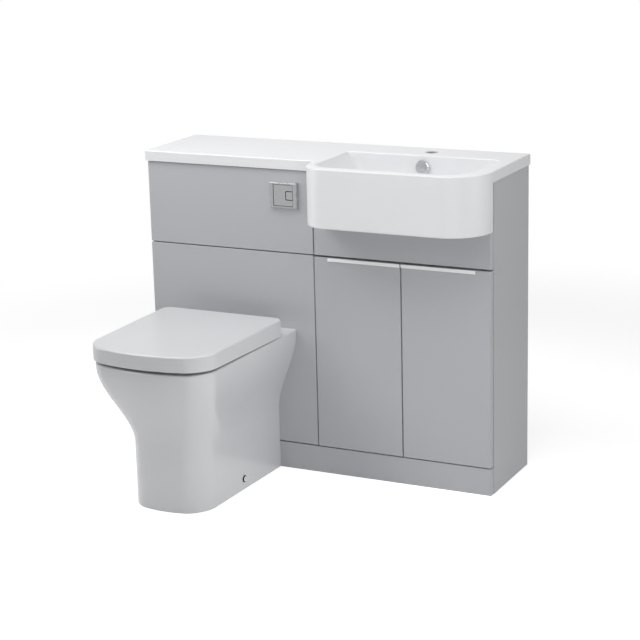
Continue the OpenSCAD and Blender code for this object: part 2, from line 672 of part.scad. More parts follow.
module pan_shell() loft(concat(
  [pan_bowl_ring(bowl_levels[8], pan_wall, bowl_levels[8][0] - pan_wall)],
  [for (i = [7:-1:2]) pan_bowl_ring(bowl_levels[i], pan_wall, bowl_levels[i][0] - pan_wall / 2)],
  [pan_bowl_ring(bowl_levels[1], pan_wall, pan_h - deck_t)],
  [pan_ring(pan_h - deck_t, pan_wall + 3, pan_wall)],
  [for (i = [len(inner_levels) - 1:-1:0]) pan_ring(inner_levels[i] * scale_h, pan_wall, pan_wall)],
  [for (z = outer_levels) pan_ring(z * scale_h, 0, 0)],
  [for (a = [0, 30, 60, 90]) pan_ring(pan_h - rim_edge + rim_edge * sin(a), rim_edge * (1 - cos(a)), 0)],
  [pan_bowl_ring(bowl_levels[0], 4, pan_h)],
  [for (b = bowl_levels) pan_bowl_ring(b, 0, b[0])]));
// Trapway: from the sump up over the weir and down to the outlet, as a round tube
trap_r = 36;
trap_path = [for (p = [[-206, 156], [-180, 180], [-152, 210], [-130, 225], [-108, 223], [-90, 207], [-74, 190],
  [-58, 181], [-34, 180]]) [pan_x, front_y + p[0], p[1] + outlet_z - 180]];
outlet_y1 = front_y + 12;
spigot_len = 42;
inlet_z = pan_h - inlet_drop;
inlet_r = 27.5;
seat_hole_y = front_y - lid_back - 6;
screw_back = 200;
screw_y = front_y - screw_back;
screw_z = 30;
foot_half = mix(foot_w, foot_front_w, screw_back / (foot_out - foot_crown)) / 2;
pad_x = foot_half - pan_wall - 10;
module pan() color(china_white) difference() {
  union() {
    difference() {
      pan_shell();
      // open back
      board(pan_x - foot_w / 2 + 22, pan_x + foot_w / 2 - 22, front_y - pan_wall - 1, front_y + 1, -1, pan_h - deck_t - 8);
    }
    tube(trap_path, trap_r + pan_wall);
    along_y(pan_x, outlet_y1 - spigot_len, outlet_z, outlet_r, spigot_len);
    along_y(pan_x, front_y - 60, outlet_z, outlet_r - 1, 40);
    along_y(pan_x, front_y - 130, inlet_z, inlet_r + 9, 128);
    // pads inside the foot that the side screws pass through
    for (s = [-1, 1]) translate([pan_x + s * (pad_x + 7) - 7, screw_y - 20, 0]) cube([14, 40, 52]);
  }
  tube(trap_path, trap_r);
  along_y(pan_x, front_y - 60, outlet_z, trap_r + 3, outlet_y1 - front_y + 70);
  along_y(pan_x, front_y - 152, inlet_z, inlet_r, 160);
  for (s = [-1, 1]) {
    translate([pan_x + s * seat_fix / 2, seat_hole_y, pan_h - 40]) cylinder(r = 8, h = 50, $fn = 32);
    along_x(pan_x - 150 + (s + 1) * 75, screw_y, screw_z, 4, 150);
  }
}
module floor_brackets() color(steel_grey) for (s = [-1, 1]) {
  x = pan_x + s * (pad_x - 1.5);
  difference() {
    union() {
      board(x - 1.5, x + 1.5, screw_y - 18, screw_y + 18, 0, 45);
      board(x - (s > 0 ? 28 : 1.5), x + (s > 0 ? 1.5 : 28), screw_y - 18, screw_y + 18, 0, 3);
    }
    along_x(x - 5, screw_y, screw_z, 3.1, 10);
    translate([x - s * 15, screw_y, -1]) cylinder(r = 4, h = 6);
  }
}
module side_screws() color(chrome_grey) for (s = [-1, 1]) translate([pan_x, screw_y, screw_z])
  rotate([0, s * 90, 0]) {
    translate([0, 0, pad_x - 6]) cylinder(r = 3, h = foot_half - pad_x + 7);
    translate([0, 0, foot_half + 0.3]) rotate_extrude()
      polygon([[0, 0], [9.5, 0], [9.5, 1.2], [8, 2.6], [0, 3.2]]);
  }

// Seat and lid

axis_y = front_y - lid_back - 8;
axis_z = pan_h + 28;
lid_r = 59;
lid_shape = [lid_w / 2, lid_front_w / 2, front_y - lid_out + crown, crown, lid_r, front_y - lid_back];
lid_rear_r = 24;
lid_len = -lid_shape[2] + crown + lid_shape[5];
function lid_low(y) = pan_h + mix(lid_gap_rear, lid_gap_front, min(1, max(0, (lid_shape[5] - y) / lid_len)));
function lid_outline(inset, back) = closed_outline(lid_shape[0] - inset, lid_shape[1] - inset,
  lid_shape[2] + inset, lid_shape[3], lid_shape[4] - min(inset, 40), lid_shape[5] - back,
  max(2, lid_rear_r - inset / 2));
lid_top = pan_h + lid_gap_front + lid_h;
function tilted(outline, up) = [for (p = outline) [p[0], p[1], lid_low(p[1]) + up]];
lid_edge = 5;
module lid_outer() loft(concat(
  [tilted(lid_outline(0.8, 0), 0)],
  [tilted(lid_outline(0, 0), 1.5)],
  [for (a = [0, 30, 60, 85]) at_height(lid_outline(lid_edge * (1 - cos(a)), 0), lid_top - 1 - lid_edge * (1 - sin(a)))],
  [at_height(lid_outline(40, 40), lid_top)]));
module lid_inner() loft([
  tilted(lid_outline(lid_wall, -5), -2),
  tilted(lid_outline(lid_wall + 1, -5), 26),
  at_height(lid_outline(lid_wall + 3, -5), lid_top - 6)]);
ear_r = 8;
post_w = 20;
ear_w = 9;
seat_pin_r = 4;
module hinge_ear(x0, w, low) difference() {
  union() {
    along_x(x0, axis_y, axis_z, ear_r, w);
    children();
  }
  along_x(x0 - 1, axis_y, axis_z, seat_pin_r + run_fit, w + 2);
}
module seat_lid() color(china_white) {
  difference() {
    lid_outer();
    lid_inner();
    // opening at the back for the posts and the ears
    for (s = [-1, 1]) board(pan_x + s * seat_fix / 2 - 27, pan_x + s * seat_fix / 2 + 27,
      front_y - lid_back - 30, front_y - lid_back + 10, pan_h - 5, axis_z + ear_r + 0.5);
    board(pan_x - lid_shape[0] + 22, pan_x + lid_shape[0] - 22, front_y - lid_back - 30, front_y - lid_back + 10,
      pan_h - 5, axis_z - 14);
  }
  for (s = [-1, 1]) {
    x = pan_x + s * (seat_fix / 2 - post_w / 2 - move_gap - ear_w / 2);
    hinge_ear(x - ear_w / 2, ear_w) board(x - ear_w / 2, x + ear_w / 2, axis_y - ear_r, axis_y + 2,
      axis_z + 1, lid_top - 5);
  }
}
ring_back = axis_y - 20;
ring_low = 1.5;
function ring_opening(grow) = closed_outline(pan_w / 2 - 68 + grow, pan_front_w / 2 - 67 + grow,
  front_y - pan_out + 86 - grow, 12, 82 + grow / 2, front_y - lid_back - 84 + grow, 62 + grow / 2);
module seat_ring() color(china_white) {
  difference() {
    loft([
      tilted(lid_outline(lid_wall + 4, 28), ring_low),
      tilted(lid_outline(lid_wall + 3, 28), ring_low + 3),
      tilted(lid_outline(lid_wall + 3.5, 28), ring_low + ring_t - 4),
      tilted(lid_outline(lid_wall + 8, 31), ring_low + ring_t)]);
    loft([
      at_height(ring_opening(0), pan_h - 5),
      tilted(ring_opening(0), 8),
      tilted(ring_opening(4), ring_low + ring_t - 2),
      tilted(ring_opening(10), ring_low + ring_t + 1)]);
  }
  for (s = [-1, 1]) {
    x = pan_x + s * (seat_fix / 2 + post_w / 2 + move_gap + ear_w / 2);
    hinge_ear(x - ear_w / 2, ear_w) translate([x - ear_w / 2, 0, 0]) rotate([90, 0, 90])
      linear_extrude(ear_w) polygon([[axis_y - 4, axis_z + 6.5], [axis_y + 2, axis_z - 7.5],
        [ring_back - 2, lid_low(ring_back) + ring_low + 2], [ring_back - 14, lid_low(ring_back) + ring_low + 4],
        [ring_back - 14, lid_low(ring_back) + ring_low + ring_t - 1]]);
  }
}
module ring_buffers() color(plastic_white) for (s = [-1, 1], back = [0.45, 0.775]) {
  y = front_y - back * pan_out;
  translate([pan_x + s * (pan_w / 2 - 46), y, pan_h + 0.3]) cylinder(r = 7, h = lid_low(y) - pan_h + ring_low - 0.4, $fn = 32);
}
module lid_buffers() color(plastic_white) for (s = [-1, 1]) {
  y = lid_shape[2] + 41;
  z0 = lid_low(y) + ring_low + ring_t + 0.4;
  translate([pan_x + s * (lid_front_w / 2 - 65), y, z0]) cylinder(r = 6, h = lid_top - 6 - z0, $fn = 32);
}
module seat_posts() color(chrome_grey) for (s = [-1, 1]) translate([pan_x + s * seat_fix / 2, 0, 0])
  difference() {
    union() {
      translate([0, seat_hole_y, pan_h]) cylinder(r = 15, h = 4);
      board(-post_w / 2, post_w / 2, axis_y - 7, axis_y + 7, pan_h + 3, axis_z);
      along_x(-post_w / 2, axis_y, axis_z, ear_r, post_w);
      translate([0, seat_hole_y, pan_h - 34]) cylinder(r = 5, h = 35);
      translate([0, seat_hole_y, pan_h - 14 - 8]) cylinder(r = 14, h = 8, $fn = 6);
    }
    along_x(-post_w / 2 - 1, axis_y, axis_z, seat_pin_r, post_w + 2);
  }
module seat_pins() color(steel_grey) for (s = [-1, 1])
  along_x(pan_x + s * seat_fix / 2 - post_w / 2 - ear_w - 2 * move_gap, axis_y, axis_z, seat_pin_r,
    post_w + 2 * ear_w + 4 * move_gap);

// Cistern

module cistern_tank() color(plastic_white) difference() {
  board(tank_x0, tank_x0 + tank_w, tank_y0, tank_y1, shelf_z, tank_z1);
  board(tank_x0 + tank_wall, tank_x0 + tank_w - tank_wall, tank_y0 + tank_wall, tank_y1 - tank_wall,
    shelf_z + tank_wall, tank_z1 + 1);
  translate([pan_x, tank_y, shelf_z - 1]) cylinder(r = valve_r + 0.3, h = tank_wall + 2);
  translate([fill_x, tank_y, shelf_z - 1]) cylinder(r = 11, h = tank_wall + 2);
}
tube_out_x = pan_x + 60;
module cistern_lid() color(plastic_white) difference() {
  union() {
    board(tank_x0 - 3, tank_x0 + tank_w + 3, tank_y0 - 3, tank_y1 + 3, tank_z1, tank_z1 + 4);
    board(tank_x0 - 3, tank_x0 - 0.5, tank_y0 - 3, tank_y1 + 3, tank_z1 - 10, tank_z1 + 1);
    board(tank_x0 + tank_w + 0.5, tank_x0 + tank_w + 3, tank_y0 - 3, tank_y1 + 3, tank_z1 - 10, tank_z1 + 1);
  }
  board(tube_out_x - 20, tube_out_x + 12, tank_y0 - 5, tank_y0 + 34, tank_z1 - 1, tank_z1 + 6);
}
inlet_tail_r = 10.475;
inlet_neck = 14;
module fill_valve() color(plastic_white) translate([fill_x, tank_y, 0]) {
  translate([0, 0, shelf_z - 45]) cylinder(r = inlet_tail_r, h = 45 - inlet_neck);
  translate([0, 0, shelf_z - inlet_neck - 1]) cylinder(r = inlet_tail_r - 0.4, h = inlet_neck + 1 + tank_wall);
  translate([0, 0, shelf_z + tank_wall]) cylinder(r = 17, h = 8);
  translate([0, 0, shelf_z - 12]) cylinder(r = 18, h = 12, $fn = 6);
  translate([0, 0, shelf_z + tank_wall + 8]) cylinder(r = 9, h = fill_head_z - shelf_z - tank_wall - 6);
  translate([0, 0, float_low - 5.3]) cylinder(r = 13, h = 5);
  translate([0, 0, fill_head_z]) cylinder(r = 21, h = 24);
}
fill_head_z = tank_z1 - 90;
float_low = tank_z1 - 180;
module float() color([0.75, 0.8, 0.86]) translate([fill_x, tank_y, float_low]) difference() {
  cylinder(r = 27, h = 46);
  translate([0, 0, -1]) cylinder(r = 9 + move_gap, h = 48);
}
valve_top = tank_z1 - 80;
guide_z = valve_top - 52;
sleeve_z = shelf_z + tank_wall + 8.3;
module flush_valve() color(plastic_white) translate([pan_x, tank_y, 0]) {
  difference() {
    union() {
      translate([0, 0, shelf_z - 52]) cylinder(r = valve_r, h = 52 + tank_wall);
      translate([0, 0, shelf_z + tank_wall]) cylinder(r = 44, h = 8);
    }
    translate([0, 0, shelf_z - 53]) cylinder(r = valve_r - 4, h = 80);
  }
  // cage of four posts under a cap that guides the sleeve
  for (a = [45:90:315]) rotate(a) translate([38, -3, shelf_z + tank_wall + 7])
    cube([5, 6, guide_z + 1 - shelf_z - tank_wall - 7]);
  difference() {
    translate([0, 0, guide_z]) cylinder(r = 44, h = 6);
    translate([0, 0, guide_z - 1]) cylinder(r = 20.5, h = 8);
  }
  difference() {
    translate([0, 0, guide_z + 6]) cylinder(r = 40, h = valve_top + 36 - guide_z - 6);
    translate([0, 0, guide_z + 5]) cylinder(r = 36, h = valve_top + 32 - guide_z - 5);
  }
}
module flush_sleeve() color([0.55, 0.7, 0.85]) translate([pan_x, tank_y, sleeve_z]) {
  sleeve_h = guide_z + 14.3 - sleeve_z;
  difference() {
    union() {
      cylinder(r = 34, h = 4);
      cylinder(r = 20, h = sleeve_h);
    }
    translate([0, 0, -1]) cylinder(r = 16, h = sleeve_h + 2);
  }
}
module flush_backnut() color(plastic_white) translate([pan_x, tank_y, shelf_z - board_t]) difference() {
  union() {
    cylinder(r = 42, h = board_t, $fn = 8);
  }
  translate([0, 0, -1]) cylinder(r = valve_r + 0.1, h = board_t + 2);
}
bend_r = 60;
pipe_top = shelf_z - 20;
pipe_wall = 2.5;
pipe_end = front_y - 60;
module pipe_ring(r) difference() {
  circle(r, $fn = 48);
  circle(pipe_r - pipe_wall, $fn = 48);
}
module flush_pipe() color(plastic_white) {
  translate([pan_x, tank_y, inlet_z + bend_r]) linear_extrude(pipe_top - inlet_z - bend_r) pipe_ring(pipe_r);
  translate([pan_x, tank_y, pipe_top - 20]) linear_extrude(20) pipe_ring(valve_r - 4.2);
  translate([pan_x, tank_y - bend_r, inlet_z + bend_r]) rotate([0, 90, 0])
    rotate_extrude(angle = 90) translate([bend_r, 0]) pipe_ring(pipe_r);
  translate([pan_x, pipe_end, inlet_z]) rotate([-90, 0, 0]) linear_extrude(tank_y - bend_r - pipe_end)
    pipe_ring(pipe_r);
}
module pan_cone_seal() color(rubber_black) translate([pan_x, front_y - 34, inlet_z]) rotate([-90, 0, 0])
  difference() {
    rotate_extrude() polygon([[pipe_r + 0.1, -14], [inlet_r - 0.3, -14], [inlet_r - 0.3, 24], [pipe_r + 0.1, 24]]);
  }

// Flush plate and buttons

button_d = 7;
rim_w = (plate_w - button_w) / 2;
module plate_ring(w, h, y0, y1) {
  board(-plate_x - w / 2, -plate_x + w / 2, y0, y1, plate_z - h / 2, plate_z + h / 2);
}
module flush_plate() color(chrome_grey) difference() {
  translate([-plate_x, front_y, plate_z]) rotate([90, 0, 0]) linear_extrude(plate_out, scale = [0.93, 0.92], slices = 1)
    square([plate_w, plate_h], center = true);
  plate_ring(button_w + 2 * move_gap, button_w + 2 * move_gap, front_y - plate_out - 1, front_y + 1);
}
module button_housing() color(plastic_white) difference() {
  union() {
    plate_ring(housing_w, housing_h, front_y, inner_y + 26);
    board(-plate_x - housing_w / 2 - 14, -plate_x + housing_w / 2 + 14, inner_y, inner_y + 3,
      plate_z - housing_h / 2 - 8, plate_z + housing_h / 2 + 8);
  }
  plate_ring(button_w + 2 * move_gap, button_w + 2 * move_gap, front_y - 1, inner_y + 22);
}
module half_shape(grow) {
  x1 = -plate_x + button_w / 2;
  r = 4;
  translate([x1 - half_w - grow, plate_z - half_h / 2 - grow]) {
    translate([r, 0]) square([half_w - r + 2 * grow, half_h + 2 * grow]);
    translate([0, r]) square([half_w, half_h + 2 * grow - 2 * r]);
    for (y = [r, half_h + 2 * grow - r]) translate([r, y]) circle(r, $fn = 24);
  }
}
button_y0 = front_y - plate_out + 1;
module button_solid(len) translate([0, button_y0 + len, 0]) rotate([90, 0, 0]) linear_extrude(len) children();
module button_full() color(chrome_grey) {
  difference() {
    button_solid(16) difference() {
      translate([-plate_x - button_w / 2, plate_z - button_w / 2]) square(button_w);
      half_shape(notch_gap);
    }
    // hollow behind the face
    translate([0, 3, 0]) button_solid(16) difference() {
      translate([-plate_x - button_w / 2 + 3, plate_z - button_w / 2 + 3]) square(button_w - 6);
      half_shape(notch_gap + 3);
      translate([-plate_x - 22, plate_z - 8]) square([16, 16]);
    }
  }
  along_y(-plate_x - 14, button_y0 + 15, plate_z, 6, 14);
}
module button_half() color(chrome_grey) {
  button_solid(16) intersection() {
    half_shape(0);
    translate([-plate_x - button_w / 2, plate_z - button_w / 2]) square(button_w);
  }
  along_y(-plate_x + button_w / 2 - 10, button_y0 + 15, plate_z, 5, 14);
}
tube_r = 3;
housing_back = inner_y + 26;
module air_tubes() color(rubber_black) for (s = [0, 1]) {
  x = -plate_x - 12 + 26 * s;
  out_x = tube_out_x - 4 + 8 * s;
  end_x = pan_x + 8 + 14 * s;
  tube([[x, housing_back, plate_z + 6 - 12 * s], [x, housing_back + 8, plate_z + 6 - 12 * s],
    [out_x, tank_y0 - 16 + 8 * s, tank_z1 - 6], [out_x, tank_y0 - 16 + 8 * s, tank_z1 + 4.5],
    [out_x, tank_y0 + 14, tank_z1 + 4.5],
    [end_x, tank_y, valve_top + 50], [end_x, tank_y, valve_top + 36]], tube_r, 10, [0.9, 0.3, 0.5]);
}

worktop_basin();
overflow_cover();
waste_body();
waste_washer();
waste_backnut();
waste_plug();
wc_side_left();
wc_side_right();
wc_top_rail();
wc_middle_rail();
wc_bottom_rail();
wc_rear_rail();
cistern_shelf();
wc_upper_panel();
wc_lower_panel();
panel_clips();
plinth();
vanity_side_left();
vanity_side_right();
vanity_bottom();
vanity_front_rail();
vanity_rear_top_rail();
vanity_rear_low_rail();
fascia();
door_left();
door_right();
handle_left();
handle_right();
hinge_cups_left();
hinge_cups_right();
hinge_arms_left();
hinge_arms_right();
hinge_pins_left();
hinge_pins_right();
door_buffers();
unit_bolts();
wall_brackets();
pan();
floor_brackets();
side_screws();
seat_posts();
seat_pins();
seat_ring();
ring_buffers();
seat_lid();
lid_buffers();
cistern_tank();
cistern_lid();
fill_valve();
float();
flush_valve();
flush_sleeve();
flush_backnut();
flush_pipe();
pan_cone_seal();
flush_plate();
button_housing();
button_full();
button_half();
air_tubes();
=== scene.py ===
"""Looks of a back-to-wall combination vanity unit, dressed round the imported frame: glazed pan,
moulded seat and lid, cast worktop with basin, lacquered fronts and plated fittings. The axes are
the frame's own. Lengths are millimetres, unless a name ends in _M or a comment says metres."""
import json
import math

import bmesh
import bpy
import numpy as np
from mathutils import Matrix, Vector

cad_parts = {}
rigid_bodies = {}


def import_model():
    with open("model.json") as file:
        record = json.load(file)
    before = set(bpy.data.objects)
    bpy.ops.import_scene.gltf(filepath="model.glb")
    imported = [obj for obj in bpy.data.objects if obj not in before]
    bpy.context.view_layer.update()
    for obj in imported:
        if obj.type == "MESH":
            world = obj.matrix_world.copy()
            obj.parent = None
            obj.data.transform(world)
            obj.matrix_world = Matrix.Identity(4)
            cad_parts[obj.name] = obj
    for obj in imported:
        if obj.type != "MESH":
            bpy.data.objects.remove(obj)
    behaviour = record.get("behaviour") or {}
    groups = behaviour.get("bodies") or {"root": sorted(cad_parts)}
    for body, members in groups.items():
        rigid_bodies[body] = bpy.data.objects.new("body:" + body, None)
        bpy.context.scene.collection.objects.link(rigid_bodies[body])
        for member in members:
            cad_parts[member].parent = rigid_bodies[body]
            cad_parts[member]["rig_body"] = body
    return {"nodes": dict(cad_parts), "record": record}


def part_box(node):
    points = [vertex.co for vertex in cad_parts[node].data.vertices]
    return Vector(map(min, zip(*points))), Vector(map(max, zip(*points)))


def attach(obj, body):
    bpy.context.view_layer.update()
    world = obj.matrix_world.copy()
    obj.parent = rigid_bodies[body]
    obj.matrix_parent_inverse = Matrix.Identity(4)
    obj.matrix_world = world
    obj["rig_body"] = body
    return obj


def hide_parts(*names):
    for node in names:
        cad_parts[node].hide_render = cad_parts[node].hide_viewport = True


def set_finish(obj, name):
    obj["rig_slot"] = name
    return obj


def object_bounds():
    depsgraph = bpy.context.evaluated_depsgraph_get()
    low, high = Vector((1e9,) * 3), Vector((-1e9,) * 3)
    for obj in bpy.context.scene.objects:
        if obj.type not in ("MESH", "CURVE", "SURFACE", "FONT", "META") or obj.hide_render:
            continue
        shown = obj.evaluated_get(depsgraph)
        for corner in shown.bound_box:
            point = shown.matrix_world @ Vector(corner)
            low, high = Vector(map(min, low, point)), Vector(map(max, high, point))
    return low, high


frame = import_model()
cad_low, cad_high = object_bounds()

MM = 0.001
SLOT_OF = {entry["node"]: entry["material_slot"] for entry in frame["record"]["subparts"]}
BODY_OF = {name: made["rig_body"] for name, made in frame["nodes"].items()}


def in_scene(name, data):
    made = bpy.data.objects.new(name, data)
    bpy.context.scene.collection.objects.link(made)
    return made


# Camera, at the photograph's viewing angle

CAMERA_PLACE_M = (2.1371, -4.5086, 1.6976)
CAMERA_AZIMUTH = math.radians(26.611)
CAMERA_ELEVATION = math.radians(14.988)
CAMERA_ROLL = math.radians(-1.444)
CAMERA_LENS, CAMERA_SENSOR = 103.909, 36


def make_camera():
    data = bpy.data.cameras.new("view")
    data.lens = CAMERA_LENS
    data.sensor_width = CAMERA_SENSOR
    camera = in_scene("view", data)
    camera.matrix_world = (Matrix.Translation(CAMERA_PLACE_M)
                           @ Matrix.Rotation(CAMERA_AZIMUTH, 4, "Z")
                           @ Matrix.Rotation(math.pi / 2 - CAMERA_ELEVATION, 4, "X")
                           @ Matrix.Rotation(CAMERA_ROLL, 4, "Z"))
    bpy.context.scene.camera = camera


# Nodes of materials and of geometry trees

# Sockets of a Mix node that mixes colours, and of a Random Value node that draws a float
MIX_SHARE, MIX_FIRST, MIX_SECOND, MIX_RESULT = 0, 6, 7, 2
DRAW_MAX, DRAW_RESULT = 3, 1


def fill(tree, socket, value):
    """Gives an input a constant or another node's output."""
    if isinstance(value, bpy.types.NodeSocket):
        tree.links.new(value, socket)
    else:
        socket.default_value = value


def linked(tree, kind, settings=None, values=(), **inputs):
    """A new node. Its inputs are filled in their order by values, or by name."""
    made = tree.nodes.new(kind)
    for name, value in (settings or {}).items():
        setattr(made, name, value)
    for socket, value in zip(made.inputs, values):
        fill(tree, socket, value)
    for name, value in inputs.items():
        fill(tree, made.inputs[name.replace("_", " ")], value)
    return made


def worked_out(tree, operation, *values):
    return linked(tree, "ShaderNodeMath", {"operation": operation}, values).outputs["Value"]


# Materials, one function for each finish

# Where most of a noise lies
NOISE_LOW, NOISE_HIGH = 0.3, 0.7


class Finish:
    """A material and its surface shader, with patterns for its colour, gloss and relief."""

    def __init__(self, name, colour, roughness, **sockets):
        self.colour = colour
        self.material = bpy.data.materials.new(name)
        self.material.use_nodes = True
        self.tree = self.material.node_tree
        self.shader = self.tree.nodes["Principled BSDF"]
        self.place = self.node("ShaderNodeTexCoord").outputs["Object"]
        self.give("Base Color", (*colour, 1))
        self.give("Roughness", roughness)
        for socket, value in sockets.items():
            self.give(socket.replace("_", " "), value)

    def node(self, kind, settings=None, values=(), **inputs):
        return linked(self.tree, kind, settings, values, **inputs)

    def give(self, socket, value):
        """Sets one socket of the surface shader."""
        fill(self.tree, self.shader.inputs[socket], value)

    def shade(self, share):
        return tuple(c * share for c in self.colour)

    def noise(self, scale, detail, place=None):
        made = self.node("ShaderNodeTexNoise", Vector=place or self.place, Scale=scale,
                         Detail=detail)
        return made.outputs["Fac"]

    def spread(self, noise, low, high):
        made = self.node("ShaderNodeMapRange", Value=noise, From_Min=NOISE_LOW,
                         From_Max=NOISE_HIGH, To_Min=low, To_Max=high)
        return made.outputs["Result"]

    def mixed(self, share, first, second):
        """Blends two colours, each given as numbers or as a node's output."""
        blend = self.node("ShaderNodeMix", {"data_type": "RGBA"})
        fill(self.tree, blend.inputs[MIX_SHARE], share)
        for socket, colour in ((MIX_FIRST, first), (MIX_SECOND, second)):
            value = (*colour, 1) if isinstance(colour, tuple) else colour
            fill(self.tree, blend.inputs[socket], value)
        return blend.outputs[MIX_RESULT]

    def clouded(self, scale, detail, second):
        """Clouds of a second colour in the finish's own."""
        share = self.spread(self.noise(scale, detail), 0, 1)
        colour = self.mixed(share, self.colour, second)
        self.give("Base Color", colour)
        return colour

    def glossed(self, scale, detail, low, high, place=None):
        """A roughness that wanders between low and high."""
        self.give("Roughness", self.spread(self.noise(scale, detail, place), low, high))

    def rippled(self, scale, detail, depth, strength, place=None):
        """A relief as deep as given, in metres."""
        bump = self.node("ShaderNodeBump", Height=self.noise(scale, detail, place),
                         Distance=depth, Strength=strength)
        self.give("Normal", bump.outputs["Normal"])


# The tap hole, and the painted shade inside it, which begins this far down and is full this far
# down
tap_hole = next(mount for mount in frame["record"]["mounts"] if mount["name"] == "tap_hole")
TAP_HOLE_R = tap_hole["dims"]["r_mm"]
TAP_PLACE = tuple(c / MM for c in tap_hole["pos_m"][:2])
TAP_TOP_M = cad_high[2]
HOLE_SHADE_FROM, HOLE_SHADE_FULL = 3, 6
HOLE_SHADE_MARGIN = 0.1
PAINTED_HOLE_SHADE = (0.16, 0.155, 0.15)


def hole_shade_share(finish):
    """Share of painted shade in the tap hole: nought beside the hole and at its top, one further
    down.
    """
    flat = finish.node("ShaderNodeMapping", Vector=finish.place, Scale=(1, 1, 0),
                       Location=(-TAP_PLACE[0] * MM, -TAP_PLACE[1] * MM, 0))
    off = finish.node("ShaderNodeVectorMath", {"operation": "LENGTH"}, (flat.outputs["Vector"],))
    drilled = worked_out(finish.tree, "LESS_THAN", off.outputs["Value"],
                         (TAP_HOLE_R + HOLE_SHADE_MARGIN) * MM)
    place = finish.node("ShaderNodeSeparateXYZ", Vector=finish.place)
    depth = finish.node("ShaderNodeMapRange", Value=place.outputs["Z"],
                        From_Min=TAP_TOP_M - HOLE_SHADE_FULL * MM,
                        From_Max=TAP_TOP_M - HOLE_SHADE_FROM * MM, To_Min=1, To_Max=0)
    return worked_out(finish.tree, "MULTIPLY", drilled, depth.outputs["Result"])


def cast_gelcoat():
    """Cast stone-resin with a gloss gel coat: almost white, with a very slight cloudiness. Further
    down in the drilled tap hole, painted shade turns it grey."""
    finish = Finish("cast_gelcoat", (0.82, 0.825, 0.84), 0.30,
                    Coat_Weight=0.12, Coat_Roughness=0.12)
    coat = finish.clouded(scale=9, detail=3, second=finish.shade(0.985))
    # Painted shade: the wall of the tap hole turns grey further down, where shade falls
    finish.give("Base Color", finish.mixed(hole_shade_share(finish), coat, PAINTED_HOLE_SHADE))
    finish.glossed(scale=14, detail=1, low=0.28, high=0.32)
    finish.rippled(scale=16, detail=1, depth=0.0008, strength=0.05)
    return finish.material


def china_glaze():
    """Vitreous china: a deep clear glaze whose surface waves very slightly."""
    finish = Finish("china_glaze", (0.70, 0.705, 0.72), 0.24,
                    Coat_Weight=0.45, Coat_Roughness=0.06)
    finish.clouded(scale=5, detail=2, second=finish.shade(0.98))
    finish.glossed(scale=12, detail=1, low=0.22, high=0.26)
    finish.rippled(scale=14, detail=1, depth=0.0012, strength=0.06)
    return finish.material


def moulded_seat():
    """Thermoset seat moulding with a polished face."""
    finish = Finish("moulded_seat", (0.695, 0.70, 0.715), 0.30,
                    Coat_Weight=0.25, Coat_Roughness=0.08)
    finish.clouded(scale=14, detail=2, second=finish.shade(0.985))
    finish.glossed(scale=16, detail=1, low=0.28, high=0.32)
    finish.rippled(scale=28, detail=1, depth=0.0006, strength=0.05)
    return finish.material


def grey_lacquer():
    """Light grey lacquer on board, satin, with the faint orange peel of spray paint."""
    finish = Finish("grey_lacquer", (0.480, 0.490, 0.510), 0.42,
                    Coat_Weight=0.35, Coat_Roughness=0.16)
    finish.clouded(scale=3, detail=2, second=finish.shade(0.985))
    finish.glossed(scale=70, detail=3, low=0.38, high=0.47)
    finish.rippled(scale=60, detail=1, depth=0.0002, strength=0.06)
    return finish.material


def grey_melamine():
    """Melamine-faced board of the carcass: nearly the same grey, flatter, with a fine grain."""
    finish = Finish("grey_melamine", (0.46, 0.47, 0.49), 0.55)
    finish.clouded(scale=26, detail=4, second=finish.shade(0.965))
    finish.glossed(scale=120, detail=3, low=0.50, high=0.62)
    finish.rippled(scale=900, detail=3, depth=0.00008, strength=0.25)
    return finish.material


# Colour of the painted shade on plated faces
PAINTED_SHADE_DARK = (0.015, 0.015, 0.016)


def darken_painted_shade(finish):
    """Painted shade: faces that a piece marks for it are painted dark and dull, without metal or
    gloss.
    """
    painted_shade = finish.node("ShaderNodeAttribute", {"attribute_name": "painted_shade"}).outputs["Fac"]
    unshaded = worked_out(finish.tree, "SUBTRACT", 1, painted_shade)
    finish.give("Base Color", finish.mixed(painted_shade, finish.colour, PAINTED_SHADE_DARK))
    finish.give("Metallic", unshaded)
    finish.give("Specular IOR Level", unshaded)


def polished_chrome():
    finish = Finish("polished_chrome", (0.72, 0.725, 0.74), 0.14, Metallic=1.0)
    darken_painted_shade(finish)
    finish.glossed(scale=160, detail=3, low=0.11, high=0.17)
    finish.rippled(scale=240, detail=2, depth=0.00004, strength=0.15)
    return finish.material


def plated_plastic():
    """Chrome plate on moulded plastic: softer than plated brass."""
    finish = Finish("plated_plastic", (0.60, 0.605, 0.62), 0.24, Metallic=1.0)
    darken_painted_shade(finish)
    finish.glossed(scale=110, detail=3, low=0.21, high=0.28)
    finish.rippled(scale=90, detail=2, depth=0.0001, strength=0.12)
    return finish.material


def painted_reflection_strip():
    """Bright aluminium handle strip, drawn near-white and hardly metallic: painted reflection of
    the white studio. Fine lines run along its length.
    """
    # Painted reflection: a near-white colour with little metal stands in for the white that the
    # strip reflects
    finish = Finish("painted_reflection_strip", (0.96, 0.965, 0.97), 0.30, Metallic=0.05)
    stretched = finish.node("ShaderNodeMapping", Vector=finish.place, Scale=(6, 900, 900))
    along = stretched.outputs["Vector"]
    finish.glossed(scale=1, detail=2, low=0.25, high=0.36, place=along)
    finish.rippled(scale=1, detail=2, depth=0.00005, strength=0.2, place=along)
    return finish.material


def zinc_steel():
    finish = Finish("zinc_steel", (0.55, 0.56, 0.57), 0.35, Metallic=1.0)
    finish.clouded(scale=70, detail=3, second=(0.48, 0.49, 0.50))
    finish.glossed(scale=40, detail=4, low=0.28, high=0.45)
    finish.rippled(scale=600, detail=2, depth=0.00005, strength=0.2)
    return finish.material


